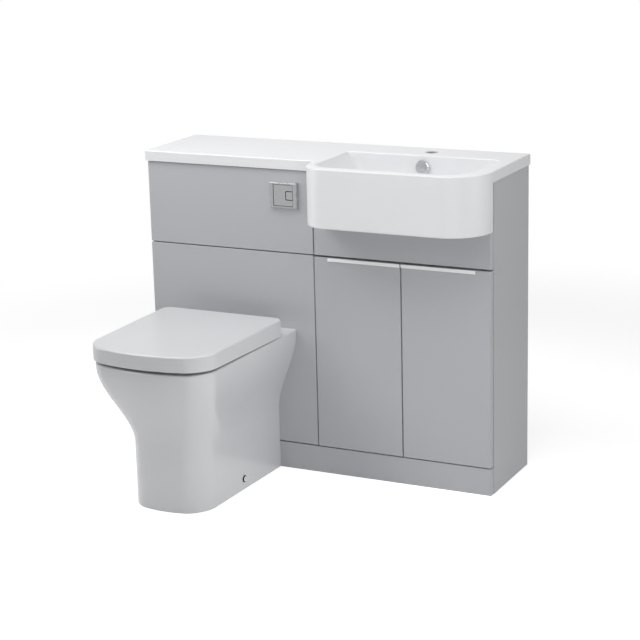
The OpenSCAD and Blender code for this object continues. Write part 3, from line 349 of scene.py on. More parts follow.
def plain_plastic(name, colour, roughness):
    finish = Finish(name, colour, roughness)
    finish.clouded(scale=18, detail=2, second=finish.shade(0.97))
    finish.glossed(scale=130, detail=2, low=roughness - 0.05, high=roughness + 0.06)
    finish.rippled(scale=700, detail=2, depth=0.00006, strength=0.2)
    return finish.material


FINISHES = {
    "cast_top": cast_gelcoat(),
    "china": china_glaze(),
    "seat_white": moulded_seat(),
    "panel_grey": grey_lacquer(),
    "carcass_grey": grey_melamine(),
    "chrome_trim": polished_chrome(),
    "chromed_plastic": plated_plastic(),
    "bright_aluminium": painted_reflection_strip(),
    "steel": zinc_steel(),
    "white_plastic": plain_plastic("white_plastic", (0.72, 0.73, 0.74), 0.42),
    "blue_plastic": plain_plastic("blue_plastic", (0.20, 0.42, 0.66), 0.38),
    "black_rubber": plain_plastic("black_rubber", (0.03, 0.03, 0.032), 0.65),
}


# Outlines in plan, and how they change from row to row

ROUND_STEPS = 6


def box_mm(node):
    low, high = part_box(node)
    return low / MM, high / MM


def mix(a, b, t):
    return a + (b - a) * t


def ease(t):
    t = min(1, max(0, t))
    return t * t * (3 - 2 * t)


def at_height(outline, z):
    return [(x, y, z) for x, y in outline]


def between(first, second, steps):
    """The points that cut the line between two points into so many steps."""
    return [tuple(mix(a, b, i / steps) for a, b in zip(first, second)) for i in range(1, steps)]


def arc(centre, radius, start, end, steps):
    """Points along an arc; angles in degrees."""
    angles = [math.radians(mix(start, end, i / steps)) for i in range(steps + 1)]
    return [(centre[0] + radius * math.cos(a), centre[1] + radius * math.sin(a)) for a in angles]


def circle(centre, radius, count):
    return arc(centre, radius, 0, 360, count)[:-1]


def rounded(radius, steps=ROUND_STEPS):
    """How far in and how far down an edge's round goes, from the side wall up to the top."""
    angles = [math.pi / 2 * i / steps for i in range(steps + 1)]
    return [(radius * (1 - math.cos(a)), radius * (1 - math.sin(a))) for a in angles]


def through_rows(rows, count):
    """Rows of numbers evened out into more rows, on smooth curves through all of them."""
    rows = np.array(rows, float)
    steps = np.linalg.norm(np.diff(rows, axis=0), axis=1)
    along = np.concatenate([[0], np.cumsum(steps)])
    slopes = np.gradient(rows, along, axis=0)
    made = []
    for s in np.linspace(0, along[-1], count):
        i = min(int(np.searchsorted(along, s, side="right")) - 1, len(rows) - 2)
        t = (s - along[i]) / steps[i]
        made.append((2 * t**3 - 3 * t**2 + 1) * rows[i] + (3 * t**2 - 2 * t**3) * rows[i + 1]
                    + (t**3 - 2 * t**2 + t) * steps[i] * slopes[i]
                    + (t**3 - t**2) * steps[i] * slopes[i + 1])
    return made


# Meshes: lengths become metres when a point goes into a mesh

WELD_M = 1e-6
TUBE_COUNT, ROD_COUNT = 48, 40


def add_loop(maker, points):
    return [maker.verts.new((x * MM, y * MM, z * MM)) for x, y, z in points]


def loft(maker, rings, closed=True):
    """Quads between rings with as many points. Rings that run anticlockwise and rise face out."""
    loops = [add_loop(maker, ring) for ring in rings]
    for low, high in zip(loops, loops[1:]):
        for i in range(len(low) if closed else len(low) - 1):
            k = (i + 1) % len(low)
            maker.faces.new((low[i], low[k], high[k], high[i]))
    return loops


def fill_between(maker, loops, up):
    """Fills the flat region between closed loops with triangles that face up or down."""
    edges = [maker.edges.get(pair) or maker.edges.new(pair)
             for loop in loops for pair in zip(loop, loop[1:] + loop[:1])]
    made = bmesh.ops.triangle_fill(maker, edges=edges, use_beauty=True, normal=(0, 0, 1))
    for face in made["geom"]:
        if isinstance(face, bmesh.types.BMFace):
            face.normal_update()
            if (face.normal.z > 0) != up:
                face.normal_flip()


def as_object(maker, name):
    mesh = bpy.data.meshes.new(name)
    maker.to_mesh(mesh)
    maker.free()
    return in_scene(name, mesh)


def solid(rings, name="tool"):
    """A solid through rings, with a flat face at its first and last ring."""
    maker = bmesh.new()
    loops = loft(maker, rings)
    maker.faces.new(loops[0][::-1])
    maker.faces.new(loops[-1])
    return as_object(maker, name)


def solid_box(x0, x1, y0, y1, z0, z1):
    corners = [(x0, y0), (x1, y0), (x1, y1), (x0, y1)]
    return solid([at_height(corners, z) for z in (z0, z1)])


def solid_tube(path, radius, count=TUBE_COUNT, across=(1, 0, 0)):
    """A tube along a path that lies in the plane square to the direction across."""
    path = [Vector(point) for point in path]
    side = Vector(across)
    rings = []
    for i, point in enumerate(path):
        along = (path[min(i + 1, len(path) - 1)] - path[max(i - 1, 0)]).normalized()
        other = along.cross(side)
        rings.append([tuple(point + x * side + y * other)
                      for x, y in circle((0, 0), radius, count)])
    return solid(rings)


def baked(piece):
    """Turns a piece's modifiers into its plain mesh."""
    bpy.context.view_layer.update()
    evaluated = piece.evaluated_get(bpy.context.evaluated_depsgraph_get())
    mesh = bpy.data.meshes.new_from_object(evaluated)
    mesh.name = piece.name
    piece.modifiers.clear()
    piece.data = mesh
    return piece


def combined(piece, steps):
    """Joins solids to a solid, or cuts them from it, in the order given."""
    for operation, tool in steps:
        modifier = piece.modifiers.new(operation, "BOOLEAN")
        modifier.operation = operation
        modifier.solver = "MANIFOLD"
        modifier.object = tool
    baked(piece)
    for _, tool in steps:
        bpy.data.objects.remove(tool)
    return piece


# Edges that turn by more than this many degrees stay sharp
TRIM_SHARP, CAST_SHARP, CHINA_SHARP, SCREW_SHARP = 32, 38, 34, 30
NORMAL_WEIGHT = 80


def smoothed(piece, sharp_degrees):
    piece.data.shade_smooth()
    piece.data.set_sharp_from_angle(angle=math.radians(sharp_degrees))
    modifier = piece.modifiers.new("normals", "WEIGHTED_NORMAL")
    modifier.keep_sharp = True
    modifier.weight = NORMAL_WEIGHT
    return baked(piece)


def settled(piece, node, sharp_degrees):
    """Smooths a piece, which then stands for a CAD node, rides on its body and has its finish."""
    smoothed(piece, sharp_degrees)
    piece.data.materials.clear()
    piece.data.materials.append(FINISHES[SLOT_OF[node]])
    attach(piece, BODY_OF[node])
    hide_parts(node)
    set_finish(piece, SLOT_OF[node])
    return piece


# Worktop with basin, cast in one piece

top_low, top_high = box_mm("worktop_basin")
unit_top = box_mm("wc_side_left")[1].z
fascia_front = box_mm("fascia")[0].y
SLAB_OVERHANG = 5
slab_front = box_mm("wc_upper_panel")[0].y - SLAB_OVERHANG
top_z = top_high.z
BASIN_LEFT = 13
BASIN_R_LEFT, BASIN_R_RIGHT = 70, 108
SLAB_CORNER_R, LEAST_R = 3, 0.1
HOLLOW_R = 16
TOP_EDGE_R = 3
APRON_EDGE_R, APRON_CHAMFER = 3.5, 2
BOWL_EDGE_R = 3.5
TAP_EDGE_R = 0.8
CAST_WALL = 12
FLOOR_T = 14
BOWL_DEPTH = 113
RIM_LEFT, RIM_RIGHT, RIM_FRONT, TAP_DECK = 20, 42, 32, 112
WASTE_BACK = 12
bowl_x0, bowl_x1 = BASIN_LEFT + RIM_LEFT, top_high.x - RIM_RIGHT
bowl_y0, bowl_y1 = top_low.y + RIM_FRONT, -TAP_DECK
bowl_z = top_z - BOWL_DEPTH
waste_x = (bowl_x0 + bowl_x1) / 2
waste_y = (bowl_y0 + bowl_y1) / 2 + WASTE_BACK

# The bowl at each depth: how far its left, right, front and back lean in, and its corner radii
# from the front left one anticlockwise
BOWL_ROWS = [
    (3, 0, 0, 0, 0, 50, 75, 8, 8),
    (22, 7, 6, 3, 1.5, 54, 76, 20, 20),
    (46, 17, 13, 7, 3.5, 58, 78, 44, 44),
    (72, 32, 23, 13, 8, 64, 80, 58, 58),
    (92, 52, 40, 26, 22, 66, 78, 62, 62),
    (104, 78, 66, 48, 44, 58, 66, 56, 56),
    (110, 112, 100, 78, 72, 36, 40, 36, 36),
]
# The seat round the waste and its hole: radius, and how far below the bowl's floor
WASTE_SEAT = [(40, -0.4), (33.8, 0), (33, 0.8), (32.7, 1), (22.5, 1), (22.5, FLOOR_T)]
UNDERSIDE_FROM = 14

# Points on straight stretches of the slab's outline, and how finely its curves are cut
SLAB_POINT_X, SIDE_POINT_Y = -250, -120
LEFT_STEPS, FRONT_STEPS, RIGHT_STEPS, HOLLOW_STEPS = 28, 4, 36, 12
BOWL_RINGS, BOWL_CORNER_STEPS, BOWL_SIDE_STEPS, TAP_COUNT = 44, 14, 8, 60


def basin_front(inset, start_y):
    """The basin's outer path in plan, from its left side round the front to its right side."""
    left = arc((BASIN_LEFT + BASIN_R_LEFT, top_low.y + BASIN_R_LEFT), BASIN_R_LEFT - inset,
               180, 270, LEFT_STEPS)
    right = arc((top_high.x - BASIN_R_RIGHT, top_low.y + BASIN_R_RIGHT), BASIN_R_RIGHT - inset,
                270, 360, RIGHT_STEPS)
    front = between(left[-1], right[0], FRONT_STEPS)
    return [(BASIN_LEFT + inset, start_y)] + left + front + right


def slab_outline(inset):
    corner = arc((top_low.x + SLAB_CORNER_R, slab_front + SLAB_CORNER_R),
                 max(LEAST_R, SLAB_CORNER_R - inset), 180, 270, ROUND_STEPS)
    hollow = arc((BASIN_LEFT - HOLLOW_R, slab_front - HOLLOW_R), HOLLOW_R + inset,
                 90, 0, HOLLOW_STEPS)
    back = [(top_high.x - inset, SIDE_POINT_Y), (top_high.x - inset, 0), (0, 0),
            (top_low.x + inset, 0)]
    return (corner + [(SLAB_POINT_X, slab_front + inset)] + hollow + basin_front(inset, 0)[1:]
            + back)


def round_box(x0, x1, y0, y1, radii):
    """A box in plan with four corner radii, from the front left one anticlockwise."""
    centres = ((x0 + radii[0], y0 + radii[0]), (x1 - radii[1], y0 + radii[1]),
               (x1 - radii[2], y1 - radii[2]), (x0 + radii[3], y1 - radii[3]))
    corners = [arc(centre, radius, 180 + 90 * k, 270 + 90 * k, BOWL_CORNER_STEPS)
               for k, (centre, radius) in enumerate(zip(centres, radii))]
    points = []
    for corner, following in zip(corners, corners[1:] + corners[:1]):
        points += corner + between(corner[-1], following[0], BOWL_SIDE_STEPS)
    return points


def bowl_ring(row, grow=0.0):
    _, left, right, front, back, *radii = row
    return round_box(bowl_x0 + left - grow, bowl_x1 - right + grow, bowl_y0 + front - grow,
                     bowl_y1 - back + grow, [radius + grow for radius in radii])


def waste_ring(radius, ring):
    """A circle round the waste with one point toward each point of a ring."""
    angles = [math.atan2(y - waste_y, x - waste_x) for x, y in ring]
    return [(waste_x + radius * math.cos(a), waste_y + radius * math.sin(a)) for a in angles]


def slab_walls():
    rings = [at_height(slab_outline(0), unit_top)]
    return rings + [at_height(slab_outline(inward), top_z - down)
                    for inward, down in rounded(TOP_EDGE_R)]


def bowl_walls():
    """From the rim's edge down the bowl, through the waste's hole and up the underside."""
    rows = through_rows(BOWL_ROWS, BOWL_RINGS)
    floor = bowl_ring(rows[-1])
    edge = [at_height(bowl_ring(BOWL_ROWS[0], down), top_z - inward)
            for inward, down in rounded(BOWL_EDGE_R)[:-1]]
    sides = [at_height(bowl_ring(row), top_z - row[0]) for row in rows]
    seat = [at_height(waste_ring(radius, floor), bowl_z - drop) for radius, drop in WASTE_SEAT]
    under = [at_height(bowl_ring(row, CAST_WALL), top_z - row[0] - FLOOR_T)
             for row in rows[::-1] if row[0] > UNDERSIDE_FROM]
    under.append(at_height(bowl_ring(rows[0], CAST_WALL), unit_top))
    return edge + sides + seat + under


def apron_walls():
    """Down the apron's inside, under its lower edge and up its outside."""
    low = top_low.z
    profile = [(CAST_WALL, unit_top), (CAST_WALL, low + APRON_CHAMFER),
               (CAST_WALL - APRON_CHAMFER, low)]
    profile += [(inward, low + down) for inward, down in rounded(APRON_EDGE_R)[::-1]]
    profile += [(0, (low + unit_top) / 2), (0, unit_top)]
    return [at_height(basin_front(inset, fascia_front) + [(top_high.x - inset, fascia_front)], z)
            for inset, z in profile]


def cast_worktop():
    maker = bmesh.new()
    slab = loft(maker, slab_walls())
    bowl = loft(maker, bowl_walls())
    tap = loft(maker, [at_height(circle(TAP_PLACE, TAP_HOLE_R + grow, TAP_COUNT), z)
                       for grow, z in ((TAP_EDGE_R, top_z), (0, top_z - TAP_EDGE_R),
                                       (0, unit_top))])
    fill_between(maker, [slab[-1], bowl[0], tap[0]], up=True)
    fill_between(maker, [slab[0], bowl[-1], tap[-1]], up=False)
    apron = loft(maker, apron_walls(), closed=False)
    maker.faces.new([row[0] for row in apron])
    maker.faces.new([row[-1] for row in apron[::-1]])
    bmesh.ops.remove_doubles(maker, verts=maker.verts, dist=WELD_M)
    settled(as_object(maker, "cast_worktop"), "worktop_basin", CAST_SHARP)


# Outline in plan that pan, seat ring and lid share: sides that close in to a bowed front

pan_low, pan_high = box_mm("pan")
front_y = box_mm("wc_lower_panel")[0].y
pan_mid_x = (pan_low.x + pan_high.x) / 2
pan_h = pan_high.z
OUTLINE_STEPS, REAR_STEPS = 14, 6


def bowed(x, y, half, front, back, crown):
    """Draws a point forward: not at the back or the sides, most in the middle of the front."""
    reach = (back - y) / (back - front)
    return x, y - crown * (1 - (x / half) ** 2) * reach**3


def closed_outline(rear_half, front_half, front, crown, corner_r, back, back_r):
    """Half widths at the rear and front, the front's y and how far its middle bows out, the front
    corners' radius, the back's y and its corners' radius."""
    steps = OUTLINE_STEPS
    start = back - back_r
    rear = arc((rear_half - back_r, start), back_r, 90, 0, REAR_STEPS)
    side = [(mix(rear_half, front_half, (start - y) / (start - front)), y)
            for y in (mix(start, front + corner_r, i / steps) for i in range(1, steps + 1))]
    end = side[-1][0] - corner_r
    corner = arc((end, front + corner_r), corner_r, 0, -90, steps)[1:]
    line = [(end * (1 - i / steps), front) for i in range(1, steps + 1)]
    half = [bowed(x, y, front_half, front, back, crown) for x, y in rear + side + corner + line]
    return ([(pan_mid_x - x, y) for x, y in half]
            + [(pan_mid_x + x, y) for x, y in half[-2::-1]])


# Pan

FOOT_W, FOOT_FRONT_W, FOOT_OUT, FOOT_CROWN, FOOT_R = 242, 222, 427, 24, 55
RIM_W, RIM_FRONT_W, RIM_CROWN, RIM_R = 360, 342, 33, 57
FLARE_LOW, FLARE_HIGH = 165, 388
PAN_WALL, DECK_T = 12, 14
PAN_REAR_R = 1.5
RIM_EDGE_R, PAN_BOWL_EDGE_R, FOOT_EDGE_R = 5, 4, 1.5
DECK_RIB, REAR_EDGE = 3, 22
SKIRT_INSIDE_TOP, SKIRT_FROM, SKIRT_BELOW_RIM = 345, 20, 4
INSIDE_RINGS, SKIRT_RINGS, PAN_BOWL_RINGS = 14, 40, 40
OUTLET_Z, OUTLET_R, OUTLET_IN = 180, 51, 60
TRAP_R, TRAP_MOUTH, TRAP_RINGS = 36, 3, 36
INLET_Z, INLET_R, INLET_WALL = pan_h - 66, 27.5, 9
INLET_IN, INLET_BORE_IN = 130, 152
INLET_SHORT = 2
SEAT_FIX, SEAT_FIX_BORE_R, SEAT_FIX_BACK, SEAT_FIX_DEEP = 155, 8, 15, 40
FOOT_STEPS, BOWL_EDGE_STEPS = 3, 4
# How far what cuts goes past what is cut
CUT_PAST, HOLE_PAST, BORE_PAST = 1, 4, 10

# The bowl at each height: half width at the rear and front, where front and rear lie ahead of the
# panel, and the front's and rear's corner radii
PAN_BOWL_ROWS = [
    (392, 116, 108, 462, 138, 84, 58), (380, 122, 114, 468, 134, 88, 62),
    (345, 117, 110, 458, 136, 88, 64), (300, 103, 96, 434, 140, 82, 64),
    (255, 82, 78, 392, 144, 70, 60), (210, 62, 59, 342, 148, 54, 50),
    (172, 48, 46, 300, 152, 42, 40), (146, 38, 36, 268, 160, 32, 32),
    (133, 24, 22, 244, 180, 18, 18),
]
PAN_BOWL_CROWN = 12
# The trapway's middle line: how far ahead of the panel, and its height
TRAP_PATH = [(206, 156), (180, 180), (152, 210), (130, 225), (108, 223), (90, 207), (74, 190),
             (58, 181), (34, 180)]


def pan_ring(z, inset=0.0, back=0.0):
    """The pan's outline at a height, drawn in all round and kept back from the panel."""
    t = ease((z - FLARE_LOW) / (FLARE_HIGH - FLARE_LOW))
    front = mix(front_y - FOOT_OUT + FOOT_CROWN, pan_low.y + RIM_CROWN, t)
    outline = closed_outline(
        mix(FOOT_W, RIM_W, t) / 2 - inset, mix(FOOT_FRONT_W, RIM_FRONT_W, t) / 2 - inset,
        front + inset, mix(FOOT_CROWN, RIM_CROWN, t), mix(FOOT_R, RIM_R, t) - inset,
        front_y - back, PAN_REAR_R + back / 2)
    return at_height(outline, z)


def pan_bowl_ring(row, z, grow=0.0):
    _, rear_half, front_half, front, rear, corner_r, rear_r = row
    outline = closed_outline(
        rear_half + grow, front_half + grow, front_y - front + PAN_BOWL_CROWN - grow,
        PAN_BOWL_CROWN, corner_r + grow / 2, front_y - rear + grow, rear_r + grow / 2)
    return at_height(outline, z)


def pan_shell():
    """Round the shell from under the bowl: up to the deck, down the skirt's inside, up its
    outside, over the rim and down the bowl."""
    rows = through_rows(PAN_BOWL_ROWS, PAN_BOWL_RINGS)
    under_deck = pan_h - DECK_T
    rings = [pan_bowl_ring(rows[-1], rows[-1][0] - PAN_WALL, PAN_WALL)]
    rings += [pan_bowl_ring(row, row[0] - PAN_WALL / 2, PAN_WALL) for row in rows[-2::-2]
              if row[0] < under_deck]
    rings.append(pan_bowl_ring(PAN_BOWL_ROWS[1], under_deck, PAN_WALL))
    rings.append(pan_ring(under_deck, PAN_WALL + DECK_RIB, PAN_WALL))
    rings += [pan_ring(z, PAN_WALL, PAN_WALL)
              for z in np.linspace(SKIRT_INSIDE_TOP, 0, INSIDE_RINGS)]
    rings += [pan_ring(FOOT_EDGE_R - down, FOOT_EDGE_R - inward)
              for inward, down in rounded(FOOT_EDGE_R, FOOT_STEPS)]
    rings += [pan_ring(z) for z in np.linspace(SKIRT_FROM, pan_h - RIM_EDGE_R - SKIRT_BELOW_RIM,
                                               SKIRT_RINGS)]
    rings += [pan_ring(pan_h - down, inward) for inward, down in rounded(RIM_EDGE_R)]
    rings += [pan_bowl_ring(rows[0], pan_h - inward, down)
              for inward, down in rounded(PAN_BOWL_EDGE_R, BOWL_EDGE_STEPS)[:-1]]
    return rings + [pan_bowl_ring(row, row[0]) for row in rows]


def pipe_along_y(z, ahead, end, radius):
    """A pipe from so far ahead of the panel to an end given by its y."""
    return solid_tube([(pan_mid_x, front_y - ahead, z), (pan_mid_x, end, z)], radius)


def glazed_pan():
    trap = through_rows([(pan_mid_x, front_y - ahead, z) for ahead, z in TRAP_PATH], TRAP_RINGS)
    opening = FOOT_W / 2 - REAR_EDGE
    steps = [
        ("DIFFERENCE", solid_box(pan_mid_x - opening, pan_mid_x + opening,
                                 front_y - PAN_WALL - CUT_PAST, front_y + CUT_PAST, -CUT_PAST,
                                 pan_h - REAR_EDGE)),
        ("UNION", solid_tube(trap, TRAP_R + PAN_WALL)),
        ("UNION", pipe_along_y(OUTLET_Z, OUTLET_IN, pan_high.y, OUTLET_R)),
        ("UNION", pipe_along_y(INLET_Z, INLET_IN, front_y - INLET_SHORT, INLET_R + INLET_WALL)),
        ("DIFFERENCE", solid_tube(trap, TRAP_R)),
        ("DIFFERENCE", pipe_along_y(OUTLET_Z, OUTLET_IN, pan_high.y + BORE_PAST,
                                    TRAP_R + TRAP_MOUTH)),
        ("DIFFERENCE", pipe_along_y(INLET_Z, INLET_BORE_IN, front_y + BORE_PAST, INLET_R)),
    ]
    y = box_mm("seat_posts")[0].y + SEAT_FIX_BACK
    for side in (-1, 1):
        x = pan_mid_x + side * SEAT_FIX / 2
        bore = [(x, y, pan_h - SEAT_FIX_DEEP), (x, y, pan_h + BORE_PAST)]
        steps.append(("DIFFERENCE", solid_tube(bore, SEAT_FIX_BORE_R)))
    settled(combined(solid(pan_shell(), "glazed_pan"), steps), "pan", CHINA_SHARP)


# Lid and seat ring, which turn on one line of pins

lid_low, lid_high = box_mm("seat_lid")
lid_top = lid_high.z
LID_W, LID_FRONT_W, LID_BACK = 363, 350, 74
LID_CORNER_R, LID_REAR_R, LID_EDGE_R, LID_EDGE_STEPS = 59, 24, 5, 8
LID_CORNER_IN, LID_REAR_LEAST_R = 40, 2
LID_GAP_FRONT, LID_GAP_REAR = 8.5, 3
AXIS_AHEAD, AXIS_UP = 8, 28
lid_back_y = front_y - LID_BACK
axis_y, axis_z = lid_back_y - AXIS_AHEAD, pan_h + AXIS_UP
# The lid's lower edge, as how far in and how far up. Its top crowns by LID_CROWN at these insets
LID_FOOT = [(0.9, 0), (0.3, 0.6), (0, 1.5)]
LID_CROWN, LID_CROWN_INSETS = 1, (9, 14, 20, 28, 38, 50)
# The hollow in the lid: how far in and how far up from the lower edge, at last below the top
LID_HOLLOW, LID_HOLLOW_TOP, LID_HOLLOW_BACK = [(4, -2), (5, 26)], (7, 6), -5
# What is cut from the lid's rear, between the sides and round each post: up from the axis
NOTCH_AHEAD, NOTCH_BEHIND, NOTCH_BELOW = 30, 10, 5
REAR_NOTCH_HALF, REAR_NOTCH_UP = LID_W / 2 - 22, -14
POST_NOTCH_HALF, POST_NOTCH_UP = 27, 8.5
KNUCKLE_R, KNUCKLE_W, KNUCKLE_OFF = 8, 9, 15
PIN_BORE_R, PIN_BORE_W = 4.05, 12
ARM_HALF = KNUCKLE_W / 2
ARM_AHEAD, ARM_BEHIND, ARM_UP, ARM_BELOW_TOP = 8, 2, 1, 5
# The ring's section, as how far in from the lid's outline at the sides and the back, and how far
# up from the lid's lower edge
RING_LOW, RING_TOP, RING_EDGE_R = 1.5, 16.5, 5
RING_IN, RING_BACK = 7.5, 28
RING_FOOT, RING_CROWN = [(8.5, 28.5, RING_LOW), (7.6, 28, 2.7)], (14, 34, 16.8)
OPENING_REAR_HALF, OPENING_FRONT_HALF, OPENING_CROWN = 112, 104, 12
OPENING_FROM_RIM, OPENING_FROM_BACK = 86, 84
OPENING_R, OPENING_REAR_R, OPENING_EDGE_R, OPENING_WALL_UP = 82, 62, 8, 8
# The ring's leg in side view: from the axis, and from its foot at the lid's lower edge
LEG_REACH = 20
LEG_AT_AXIS = [(-4, 6.5), (2, -7.5)]
LEG_AT_FOOT = [(-2, 3.5), (-14, 5.5), (-14, 15.5)]


def lid_outline(inset, back):
    """The lid's outline, drawn in all round, and moved forward at its back."""
    return closed_outline(LID_W / 2 - inset, LID_FRONT_W / 2 - inset,
                          lid_low.y + RIM_CROWN + inset, RIM_CROWN,
                          LID_CORNER_R - min(inset, LID_CORNER_IN), lid_back_y - back,
                          max(LID_REAR_LEAST_R, LID_REAR_R - inset / 2))


def lid_under(y):
    """The height of the lid's lower edge, which rises toward the front."""
    ahead = (lid_back_y - y) / (lid_back_y - lid_low.y)
    return pan_h + mix(LID_GAP_REAR, LID_GAP_FRONT, min(1, max(0, ahead)))


def tilted(outline, up):
    return [(x, y, lid_under(y) + up) for x, y in outline]


def hinge_rod(x, radius, width):
    return solid_tube([(x - width / 2, axis_y, axis_z), (x + width / 2, axis_y, axis_z)], radius,
                      ROD_COUNT, (0, 1, 0))


def knuckle(x):
    return [("UNION", hinge_rod(x, KNUCKLE_R, KNUCKLE_W)),
            ("DIFFERENCE", hinge_rod(x, PIN_BORE_R, PIN_BORE_W))]


def notch(x, half, up):
    return "DIFFERENCE", solid_box(x - half, x + half, lid_back_y - NOTCH_AHEAD,
                                   lid_back_y + NOTCH_BEHIND, pan_h - NOTCH_BELOW, axis_z + up)


def moulded_lid():
    rings = [tilted(lid_outline(inset, 0), up) for inset, up in LID_FOOT]
    rings += [at_height(lid_outline(inward, inward / 2), lid_top - LID_CROWN - down)
              for inward, down in rounded(LID_EDGE_R, LID_EDGE_STEPS)]
    for inset in LID_CROWN_INSETS:
        short = 1 - (inset - LID_EDGE_R) / (LID_CROWN_INSETS[-1] - LID_EDGE_R)
        rings.append(at_height(lid_outline(inset, inset), lid_top - LID_CROWN * short**2))
    hollow = [tilted(lid_outline(inset, LID_HOLLOW_BACK), up) for inset, up in LID_HOLLOW]
    inset, below = LID_HOLLOW_TOP
    hollow.append(at_height(lid_outline(inset, LID_HOLLOW_BACK), lid_top - below))
    steps = [("DIFFERENCE", solid(hollow)),
             notch(pan_mid_x, REAR_NOTCH_HALF, REAR_NOTCH_UP)]
    steps += [notch(pan_mid_x + side * SEAT_FIX / 2, POST_NOTCH_HALF, POST_NOTCH_UP)
              for side in (-1, 1)]
    for side in (-1, 1):
        x = pan_mid_x + side * (SEAT_FIX / 2 - KNUCKLE_OFF)
        steps.append(("UNION", solid_box(x - ARM_HALF, x + ARM_HALF, axis_y - ARM_AHEAD,
                                         axis_y + ARM_BEHIND, axis_z + ARM_UP,
                                         lid_top - ARM_BELOW_TOP)))
        steps += knuckle(x)
    settled(combined(solid(rings, "moulded_lid"), steps), "seat_lid", CHINA_SHARP)


def ring_opening(grow):
    return closed_outline(OPENING_REAR_HALF + grow, OPENING_FRONT_HALF + grow,
                          pan_low.y + OPENING_FROM_RIM - grow, OPENING_CROWN,
                          OPENING_R + grow / 2, lid_back_y - OPENING_FROM_BACK + grow,
                          OPENING_REAR_R + grow / 2)


def ring_leg(x):
    """The leg from the ring's rear up to its knuckle."""
    foot_y = axis_y - LEG_REACH
    foot_z = lid_under(foot_y)
    side_view = [(axis_y + y, axis_z + z) for y, z in LEG_AT_AXIS]
    side_view += [(foot_y + y, foot_z + z) for y, z in LEG_AT_FOOT]
    faces = [[(x + end, y, z) for y, z in side_view[::-1]] for end in (-ARM_HALF, ARM_HALF)]
    return "UNION", solid(faces)


def moulded_ring():
    rows = RING_FOOT + [(RING_IN + inward, RING_BACK + inward, RING_TOP - down)
                        for inward, down in rounded(RING_EDGE_R)]
    rings = [tilted(lid_outline(inset, back), up) for inset, back, up in rows + [RING_CROWN]]
    hole = [at_height(ring_opening(0), pan_h - NOTCH_BELOW),
            tilted(ring_opening(0), OPENING_WALL_UP)]
    hole += [tilted(ring_opening(inward), RING_TOP - down)
             for inward, down in rounded(OPENING_EDGE_R)]
    hole.append(tilted(ring_opening(OPENING_EDGE_R + CUT_PAST), RING_TOP + HOLE_PAST))
    steps = [("DIFFERENCE", solid(hole))]
    for side in (-1, 1):
        x = pan_mid_x + side * (SEAT_FIX / 2 + KNUCKLE_OFF)
        steps.append(ring_leg(x))
        steps += knuckle(x)
    settled(combined(solid(rings, "moulded_ring"), steps), "seat_ring", CHINA_SHARP)


# Plated faces darkened by painted shade

GAP_REACH = 1.4
FACES_FRONT = -0.98
button_low, button_high = box_mm("button_full")


def mark_painted_shade(piece, is_shaded):
    """Marks faces for painted shade. The test takes a face's middle in millimetres and its normal.
    """
    painted_shade = piece.data.attributes.new("painted_shade", "FLOAT", "FACE")
    for face in piece.data.polygons:
        painted_shade.data[face.index].value = float(is_shaded(face.center / MM, face.normal))


def in_button_gap(middle, normal):
    """The walls and the eased edges round the flush buttons, where painted shade goes."""
    return (normal.y > FACES_FRONT
            and button_low.x - GAP_REACH < middle.x < button_high.x + GAP_REACH
            and button_low.z - GAP_REACH < middle.z < button_high.z + GAP_REACH)


# Caps on the pan's side screws: how far out from the pan's side, how far from the screw's middle

CAP_PROFILE = [(0, 3), (0, 9.5), (1.2, 9.5), (2.6, 8), (2.75, 7), (3.1, 1.6), (2.3, 1.6)]
CAP_OUT, CAP_COUNT = 3.2, 48
CAP_RING_R, CAP_DOT_R = 7.2, 1.7
SHAFT_R, SHAFT_IN = 3, 6


def side_caps():
    """Side screws with plated caps, with painted shade on each cap's edge ring and in its pin hole.
    """
    low, high = box_mm("side_screws")
    y, z = (low.y + high.y) / 2, (low.z + high.z) / 2
    start = box_mm("floor_brackets")[1].x - pan_mid_x - SHAFT_IN
    base = high.x - pan_mid_x - CAP_OUT
    profile = [(start, SHAFT_R)] + [(base + out, radius) for out, radius in CAP_PROFILE]
    maker = bmesh.new()
    for side in (-1, 1):
        loops = loft(maker, [[(pan_mid_x + side * out, across, up)
                              for across, up in circle((y, z), radius, CAP_COUNT)]
                             for out, radius in profile])
        maker.faces.new(loops[0])
        maker.faces.new(loops[-1])
    bmesh.ops.recalc_face_normals(maker, faces=maker.faces)
    piece = settled(as_object(maker, "side_caps"), "side_screws", TRIM_SHARP)
    # Painted shade on the cap's edge ring and in its pin hole
    mark_painted_shade(piece, lambda middle, normal:
              not CAP_DOT_R < math.hypot(middle.y - y, middle.z - z) < CAP_RING_R)


# Boards, fronts and fittings whose edges are eased: the size of the round

EASED = {
    "wc_upper_panel": 1.0, "wc_lower_panel": 1.0, "fascia": 0.8, "door_left": 1.2,
    "door_right": 1.2, "plinth": 0.6, "wc_side_left": 0.6, "vanity_side_right": 0.6,
    "handle_left": 0.4, "handle_right": 0.4, "flush_plate": 0.5, "button_full": 0.6,
    "button_half": 0.6,
}
EDGE_SEGMENTS = 3
EDGE_FROM, FLAT_WITHIN = math.radians(40), math.radians(0.4)
HANDLES = ("handle_left", "handle_right")
HANDLE_PROUD, HANDLE_DROP = 4, 1.6


def draw_in(maker, handle):
    """Draws a handle's lip back to the door and its top down to the door's top edge, as the photo
    shows them."""
    door_front = box_mm("door_left")[0].y
    back = door_front - HANDLE_PROUD - box_mm(handle)[0].y
    for vertex in maker.verts:
        vertex.co.z -= HANDLE_DROP * MM
        if vertex.co.y < door_front * MM:
            vertex.co.y += back * MM


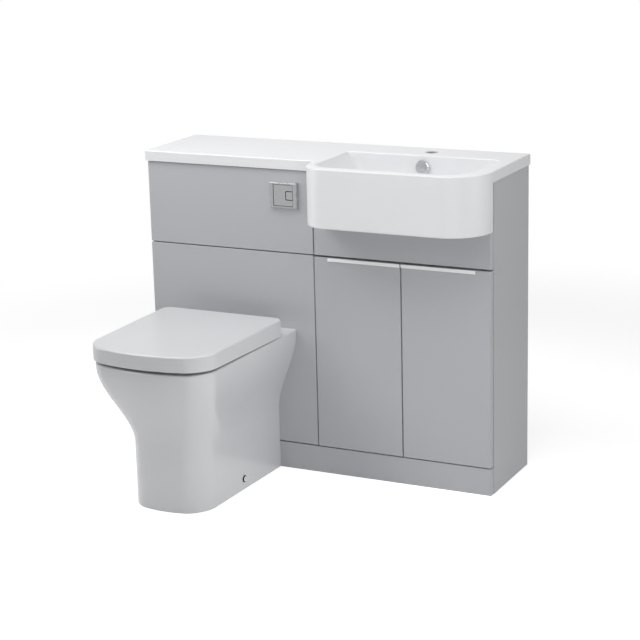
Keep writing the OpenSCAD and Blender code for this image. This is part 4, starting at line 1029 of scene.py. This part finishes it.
def eased(node, width):
    """Stands for a CAD node with its sharp edges eased by a small round, as pressed, sawn or
    moulded pieces have."""
    maker = bmesh.new()
    maker.from_mesh(frame["nodes"][node].data)
    bmesh.ops.remove_doubles(maker, verts=maker.verts, dist=WELD_M)
    bmesh.ops.dissolve_limit(maker, angle_limit=FLAT_WITHIN, verts=maker.verts, edges=maker.edges)
    if node in HANDLES:
        draw_in(maker, node)
    piece = as_object(maker, "eased_" + node)
    edges = piece.modifiers.new("edges", "BEVEL")
    edges.width = width * MM
    edges.segments = EDGE_SEGMENTS
    edges.limit_method = "ANGLE"
    edges.angle_limit = EDGE_FROM
    edges.miter_outer = "MITER_ARC"
    settled(baked(piece), node, TRIM_SHARP)
    if SLOT_OF[node] == "chromed_plastic":
        # Painted shade in the gaps round the flush buttons
        mark_painted_shade(piece, in_button_gap)


# Screws of the hinges and brackets, set at their places by geometry nodes

# Sizes as shares of the head's radius
SCREW_SIZES = {"Head height": 0.42, "Cross width": 0.26, "Cross depth": 0.30}
CROSS_LENGTH = 1.1
BELOW_SIZE = 4
SCREW_SEED = 7
WING_SCREW_R, PLATE_SCREW_R, BRACKET_SCREW_R, PAD_SCREW_R = 2.4, 3.1, 5.5, 6.5
HINGE_PIN_HALF = 8.5
WING_SCREW_IN, WING_SCREW_UP = 13.5, 21.5
PLATE_SCREW_IN, PLATE_SCREW_BACK, PLATE_SCREW_UP = 4.5, 27, 16
BRACKET_SCREW_IN, BRACKET_FACE_Y = 18, -2.5
PAD_SCREW_IN, PAD_TOP_Z = 16.5, 3


def point_value(tree, name, kind):
    return linked(tree, "GeometryNodeInputNamedAttribute", {"data_type": kind},
                  Name=name).outputs["Attribute"]


def vector_of(tree, *values):
    return linked(tree, "ShaderNodeCombineXYZ", None, values).outputs["Vector"]


def screw_head(tree, height, width, depth):
    """A dome of radius 1, cut off flat below, with a cross recess in its top."""
    ball = linked(tree, "GeometryNodeMeshUVSphere", Segments=32, Rings=16, Radius=1.0)
    dome = linked(tree, "GeometryNodeTransform", Geometry=ball.outputs["Mesh"],
                  Scale=vector_of(tree, 1.0, 1.0, height))
    below = linked(tree, "GeometryNodeMeshCube", Size=(BELOW_SIZE,) * 3)
    cuts = [linked(tree, "GeometryNodeTransform", Geometry=below.outputs["Mesh"],
                   Translation=(0, 0, -BELOW_SIZE / 2))]
    for size in ((CROSS_LENGTH, width, depth), (width, CROSS_LENGTH, depth)):
        slot = linked(tree, "GeometryNodeMeshCube", Size=vector_of(tree, *size))
        cuts.append(linked(tree, "GeometryNodeTransform", Geometry=slot.outputs["Mesh"],
                           Translation=vector_of(tree, 0.0, 0.0, height)))
    head = linked(tree, "GeometryNodeMeshBoolean",
                  {"operation": "DIFFERENCE", "solver": "MANIFOLD"}, (dome.outputs["Geometry"],))
    for cut in cuts:
        tree.links.new(cut.outputs["Geometry"], head.inputs[1])
    return head.outputs["Mesh"]


def screw_tree():
    """A head at each point, along the point's facing, at the point's radius, and turned at random
    as screws are when they are driven home."""
    tree = bpy.data.node_groups.new("screw_heads", "GeometryNodeTree")
    sockets = {"Places": "Geometry", **dict.fromkeys(SCREW_SIZES, "Float"), "Seed": "Int",
               "Finish": "Material"}
    for name, kind in sockets.items():
        tree.interface.new_socket(name, in_out="INPUT", socket_type="NodeSocket" + kind)
    tree.interface.new_socket("Screws", in_out="OUTPUT", socket_type="NodeSocketGeometry")
    entry = tree.nodes.new("NodeGroupInput").outputs
    head = screw_head(tree, *(entry[name] for name in SCREW_SIZES))
    facing = linked(tree, "FunctionNodeAlignRotationToVector", {"axis": "Z"},
                    Vector=point_value(tree, "facing", "FLOAT_VECTOR"))
    chance = linked(tree, "FunctionNodeRandomValue", {"data_type": "FLOAT"}, Seed=entry["Seed"])
    chance.inputs[DRAW_MAX].default_value = math.pi / 2
    spin = linked(tree, "FunctionNodeAxisAngleToRotation", Axis=(0, 0, 1),
                  Angle=chance.outputs[DRAW_RESULT])
    turned = linked(tree, "FunctionNodeRotateRotation", {"rotation_space": "LOCAL"},
                    Rotation=facing.outputs["Rotation"], Rotate_By=spin.outputs["Rotation"])
    placed = linked(tree, "GeometryNodeInstanceOnPoints", Points=entry["Places"], Instance=head,
                    Rotation=turned.outputs["Rotation"], Scale=point_value(tree, "radius", "FLOAT"))
    real = linked(tree, "GeometryNodeRealizeInstances", Geometry=placed.outputs["Instances"])
    finished = linked(tree, "GeometryNodeSetMaterial", Geometry=real.outputs["Geometry"],
                      Material=entry["Finish"])
    linked(tree, "NodeGroupOutput", Screws=finished.outputs["Geometry"])
    return tree


def driven_screws(name, node, places, tree):
    """The screws that ride with a node. Each place is a point, the way its head faces and the
    head's radius."""
    mesh = bpy.data.meshes.new(name)
    mesh.from_pydata([tuple(c * MM for c in point) for point, _, _ in places], [], [])
    facings = mesh.attributes.new("facing", "FLOAT_VECTOR", "POINT")
    facings.data.foreach_set("vector", [c for _, way, _ in places for c in way])
    sizes = mesh.attributes.new("radius", "FLOAT", "POINT")
    sizes.data.foreach_set("value", [size * MM for _, _, size in places])
    screws = in_scene(name, mesh)
    modifier = screws.modifiers.new("screws", "NODES")
    modifier.node_group = tree
    sockets = {item.name: item.identifier for item in tree.interface.items_tree
               if item.in_out == "INPUT"}
    inputs = {**SCREW_SIZES, "Seed": SCREW_SEED, "Finish": FINISHES["steel"]}
    for label, value in inputs.items():
        modifier[sockets[label]] = value
    smoothed(baked(screws), SCREW_SHARP)
    attributes = screws.data.attributes
    for label in ("facing", "radius"):
        attributes.remove(attributes[label])
    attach(screws, BODY_OF[node])
    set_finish(screws, "steel")


def all_screws():
    tree = screw_tree()
    unit = []
    for side, inward, inner in (("left", 1, 1), ("right", -1, 0)):
        cups, arms = box_mm("hinge_cups_" + side), box_mm("hinge_arms_" + side)
        pins_low, pins_high = box_mm("hinge_pins_" + side)
        heights = (pins_low.z + HINGE_PIN_HALF, pins_high.z - HINGE_PIN_HALF)
        wing_x = cups[inner].x - inward * WING_SCREW_IN
        plate_x = arms[inner].x - inward * PLATE_SCREW_IN
        plate_y = arms[1].y - PLATE_SCREW_BACK
        wings = [((wing_x, cups[1].y, z + up), (0, 1, 0), WING_SCREW_R) for z in heights
                 for up in (-WING_SCREW_UP, WING_SCREW_UP)]
        driven_screws("wing_screws_" + side, "hinge_cups_" + side, wings, tree)
        unit += [((plate_x, plate_y, z + up), (inward, 0, 0), PLATE_SCREW_R) for z in heights
                 for up in (-PLATE_SCREW_UP, PLATE_SCREW_UP)]
    low, high = box_mm("wall_brackets")
    middle = (box_mm("wc_side_right")[0].x - BRACKET_SCREW_IN,
              box_mm("vanity_side_left")[1].x + BRACKET_SCREW_IN)
    for x in (low.x + BRACKET_SCREW_IN, *middle, high.x - BRACKET_SCREW_IN):
        unit.append(((x, BRACKET_FACE_Y, (low.z + high.z) / 2), (0, -1, 0), BRACKET_SCREW_R))
    low, high = box_mm("floor_brackets")
    for x in (low.x + PAD_SCREW_IN, high.x - PAD_SCREW_IN):
        unit.append(((x, (low.y + high.y) / 2, PAD_TOP_Z), (0, 0, 1), PAD_SCREW_R))
    driven_screws("unit_screws", "wall_brackets", unit, tree)


def dress_nodes():
    """Every CAD node that is still shown gets its finish."""
    for name, made in frame["nodes"].items():
        if not made.hide_render:
            for place in made.material_slots:
                place.material = FINISHES[SLOT_OF[name]]
            made["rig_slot"] = SLOT_OF[name]


# Floor, light and background

FLOOR_TONE = (0.80, 0.80, 0.81)
FLOOR_REACH_M = 12
FADE_START_M, FADE_END_M = 1.1, 2.4
# How much the floor is lifted toward white where it is seen, how strong the light from all round
# is, and how white the studio is in a reflection
FLOOR_LIFT, AMBIENT, MIRRORED = 0.64, 0.02, 0.62

# Name, place and what it points at in metres, size in metres, watts, and whether gloss mirrors it
LIGHTS = [
    ("near_top", (0.2, -0.9, 2.2), (0.1, -0.3, 0.5), 1.0, 7.5),
    ("near_left", (-0.9, -0.75, 1.9), (-0.2, -0.3, 0.6), 0.8, 11),
    ("near_right", (1.0, -0.75, 1.7), (0.2, -0.4, 0.4), 0.8, 3.8),
    ("right_wide", (3.2, -0.3, 1.5), (0, -0.3, 0.5), 2.6, 29),
    ("left_low", (-3.0, -1.2, 1.0), (0, -0.3, 0.5), 1.5, 17),
    ("left_high", (-2.2, -2.6, 2.6), (0, -0.3, 0.5), 1.5, 27),
    ("over_slab", (0.0, 0.5, 1.9), (0, -0.2, 0.8), 1.2, 6.2),
    ("door_wash", (0.85, -1.6, 0.55), (0.25, -0.27, 0.5), 0.8, 5.2, False),
]


def seen_white(tree):
    """How white the studio is to a ray: one from the camera, less in a reflection or through
    glass, else nought."""
    rays = tree.nodes.new("ShaderNodeLightPath").outputs
    other = worked_out(tree, "MAXIMUM", rays["Is Glossy Ray"], rays["Is Transmission Ray"])
    return worked_out(tree, "MAXIMUM", rays["Is Camera Ray"],
                      worked_out(tree, "MULTIPLY", other, MIRRORED))


def pale_floor():
    """Pale and dull. Seen from the camera it fades to the white background."""
    finish = Finish("pale_floor", FLOOR_TONE, 0.9, Specular_IOR_Level=0.0)
    finish.clouded(scale=2, detail=3, second=finish.shade(0.995))
    tree = finish.tree
    seen = seen_white(tree)
    lift = linked(tree, "ShaderNodeEmission",
                  Strength=worked_out(tree, "MULTIPLY", seen, FLOOR_LIFT))
    lifted = linked(tree, "ShaderNodeAddShader", None,
                    (finish.shader.outputs["BSDF"], lift.outputs["Emission"]))
    white = linked(tree, "ShaderNodeEmission", Strength=seen)
    distance = linked(tree, "ShaderNodeVectorMath", {"operation": "LENGTH"}, (finish.place,))
    fade = linked(tree, "ShaderNodeMapRange", {"interpolation_type": "SMOOTHSTEP"},
                  Value=distance.outputs["Value"], From_Min=FADE_START_M, From_Max=FADE_END_M)
    share = worked_out(tree, "MULTIPLY", worked_out(tree, "SIGN", seen), fade.outputs["Result"])
    mixed = linked(tree, "ShaderNodeMixShader", None,
                   (share, lifted.outputs["Shader"], white.outputs["Emission"]))
    fill(tree, tree.nodes["Material Output"].inputs["Surface"], mixed.outputs["Shader"])
    return finish.material


def make_floor():
    reach = FLOOR_REACH_M
    mesh = bpy.data.meshes.new("floor")
    mesh.from_pydata([(-reach, -reach, 0), (reach, -reach, 0), (reach, reach, 0),
                      (-reach, reach, 0)], [], [(0, 1, 2, 3)])
    mesh.materials.append(pale_floor())
    floor = in_scene("floor", mesh)


def make_world():
    world = bpy.data.worlds.new("studio")
    bpy.context.scene.world = world
    world.use_nodes = True
    tree = world.node_tree
    background = tree.nodes["Background"]
    background.inputs["Color"].default_value = (1, 1, 1, 1)
    span = linked(tree, "ShaderNodeMapRange", Value=seen_white(tree), To_Min=AMBIENT, To_Max=1.0)
    fill(tree, background.inputs["Strength"], span.outputs["Result"])


def soft_light(name, place, target, size, watts, mirrored=True):
    data = bpy.data.lights.new(name, "AREA")
    data.shape = "DISK"
    data.size = size
    data.energy = watts
    light = in_scene(name, data)
    light.location = place
    light.visible_glossy = mirrored
    light.rotation_mode = "QUATERNION"
    light.rotation_quaternion = (Vector(target) - Vector(place)).to_track_quat("-Z", "Y")


make_camera()
cast_worktop()
glazed_pan()
moulded_lid()
moulded_ring()
side_caps()
for node, width in EASED.items():
    eased(node, width)
all_screws()
dress_nodes()
make_floor()
make_world()
for light in LIGHTS:
    soft_light(*light)

scene = bpy.context.scene
scene.view_settings.view_transform = "Standard"
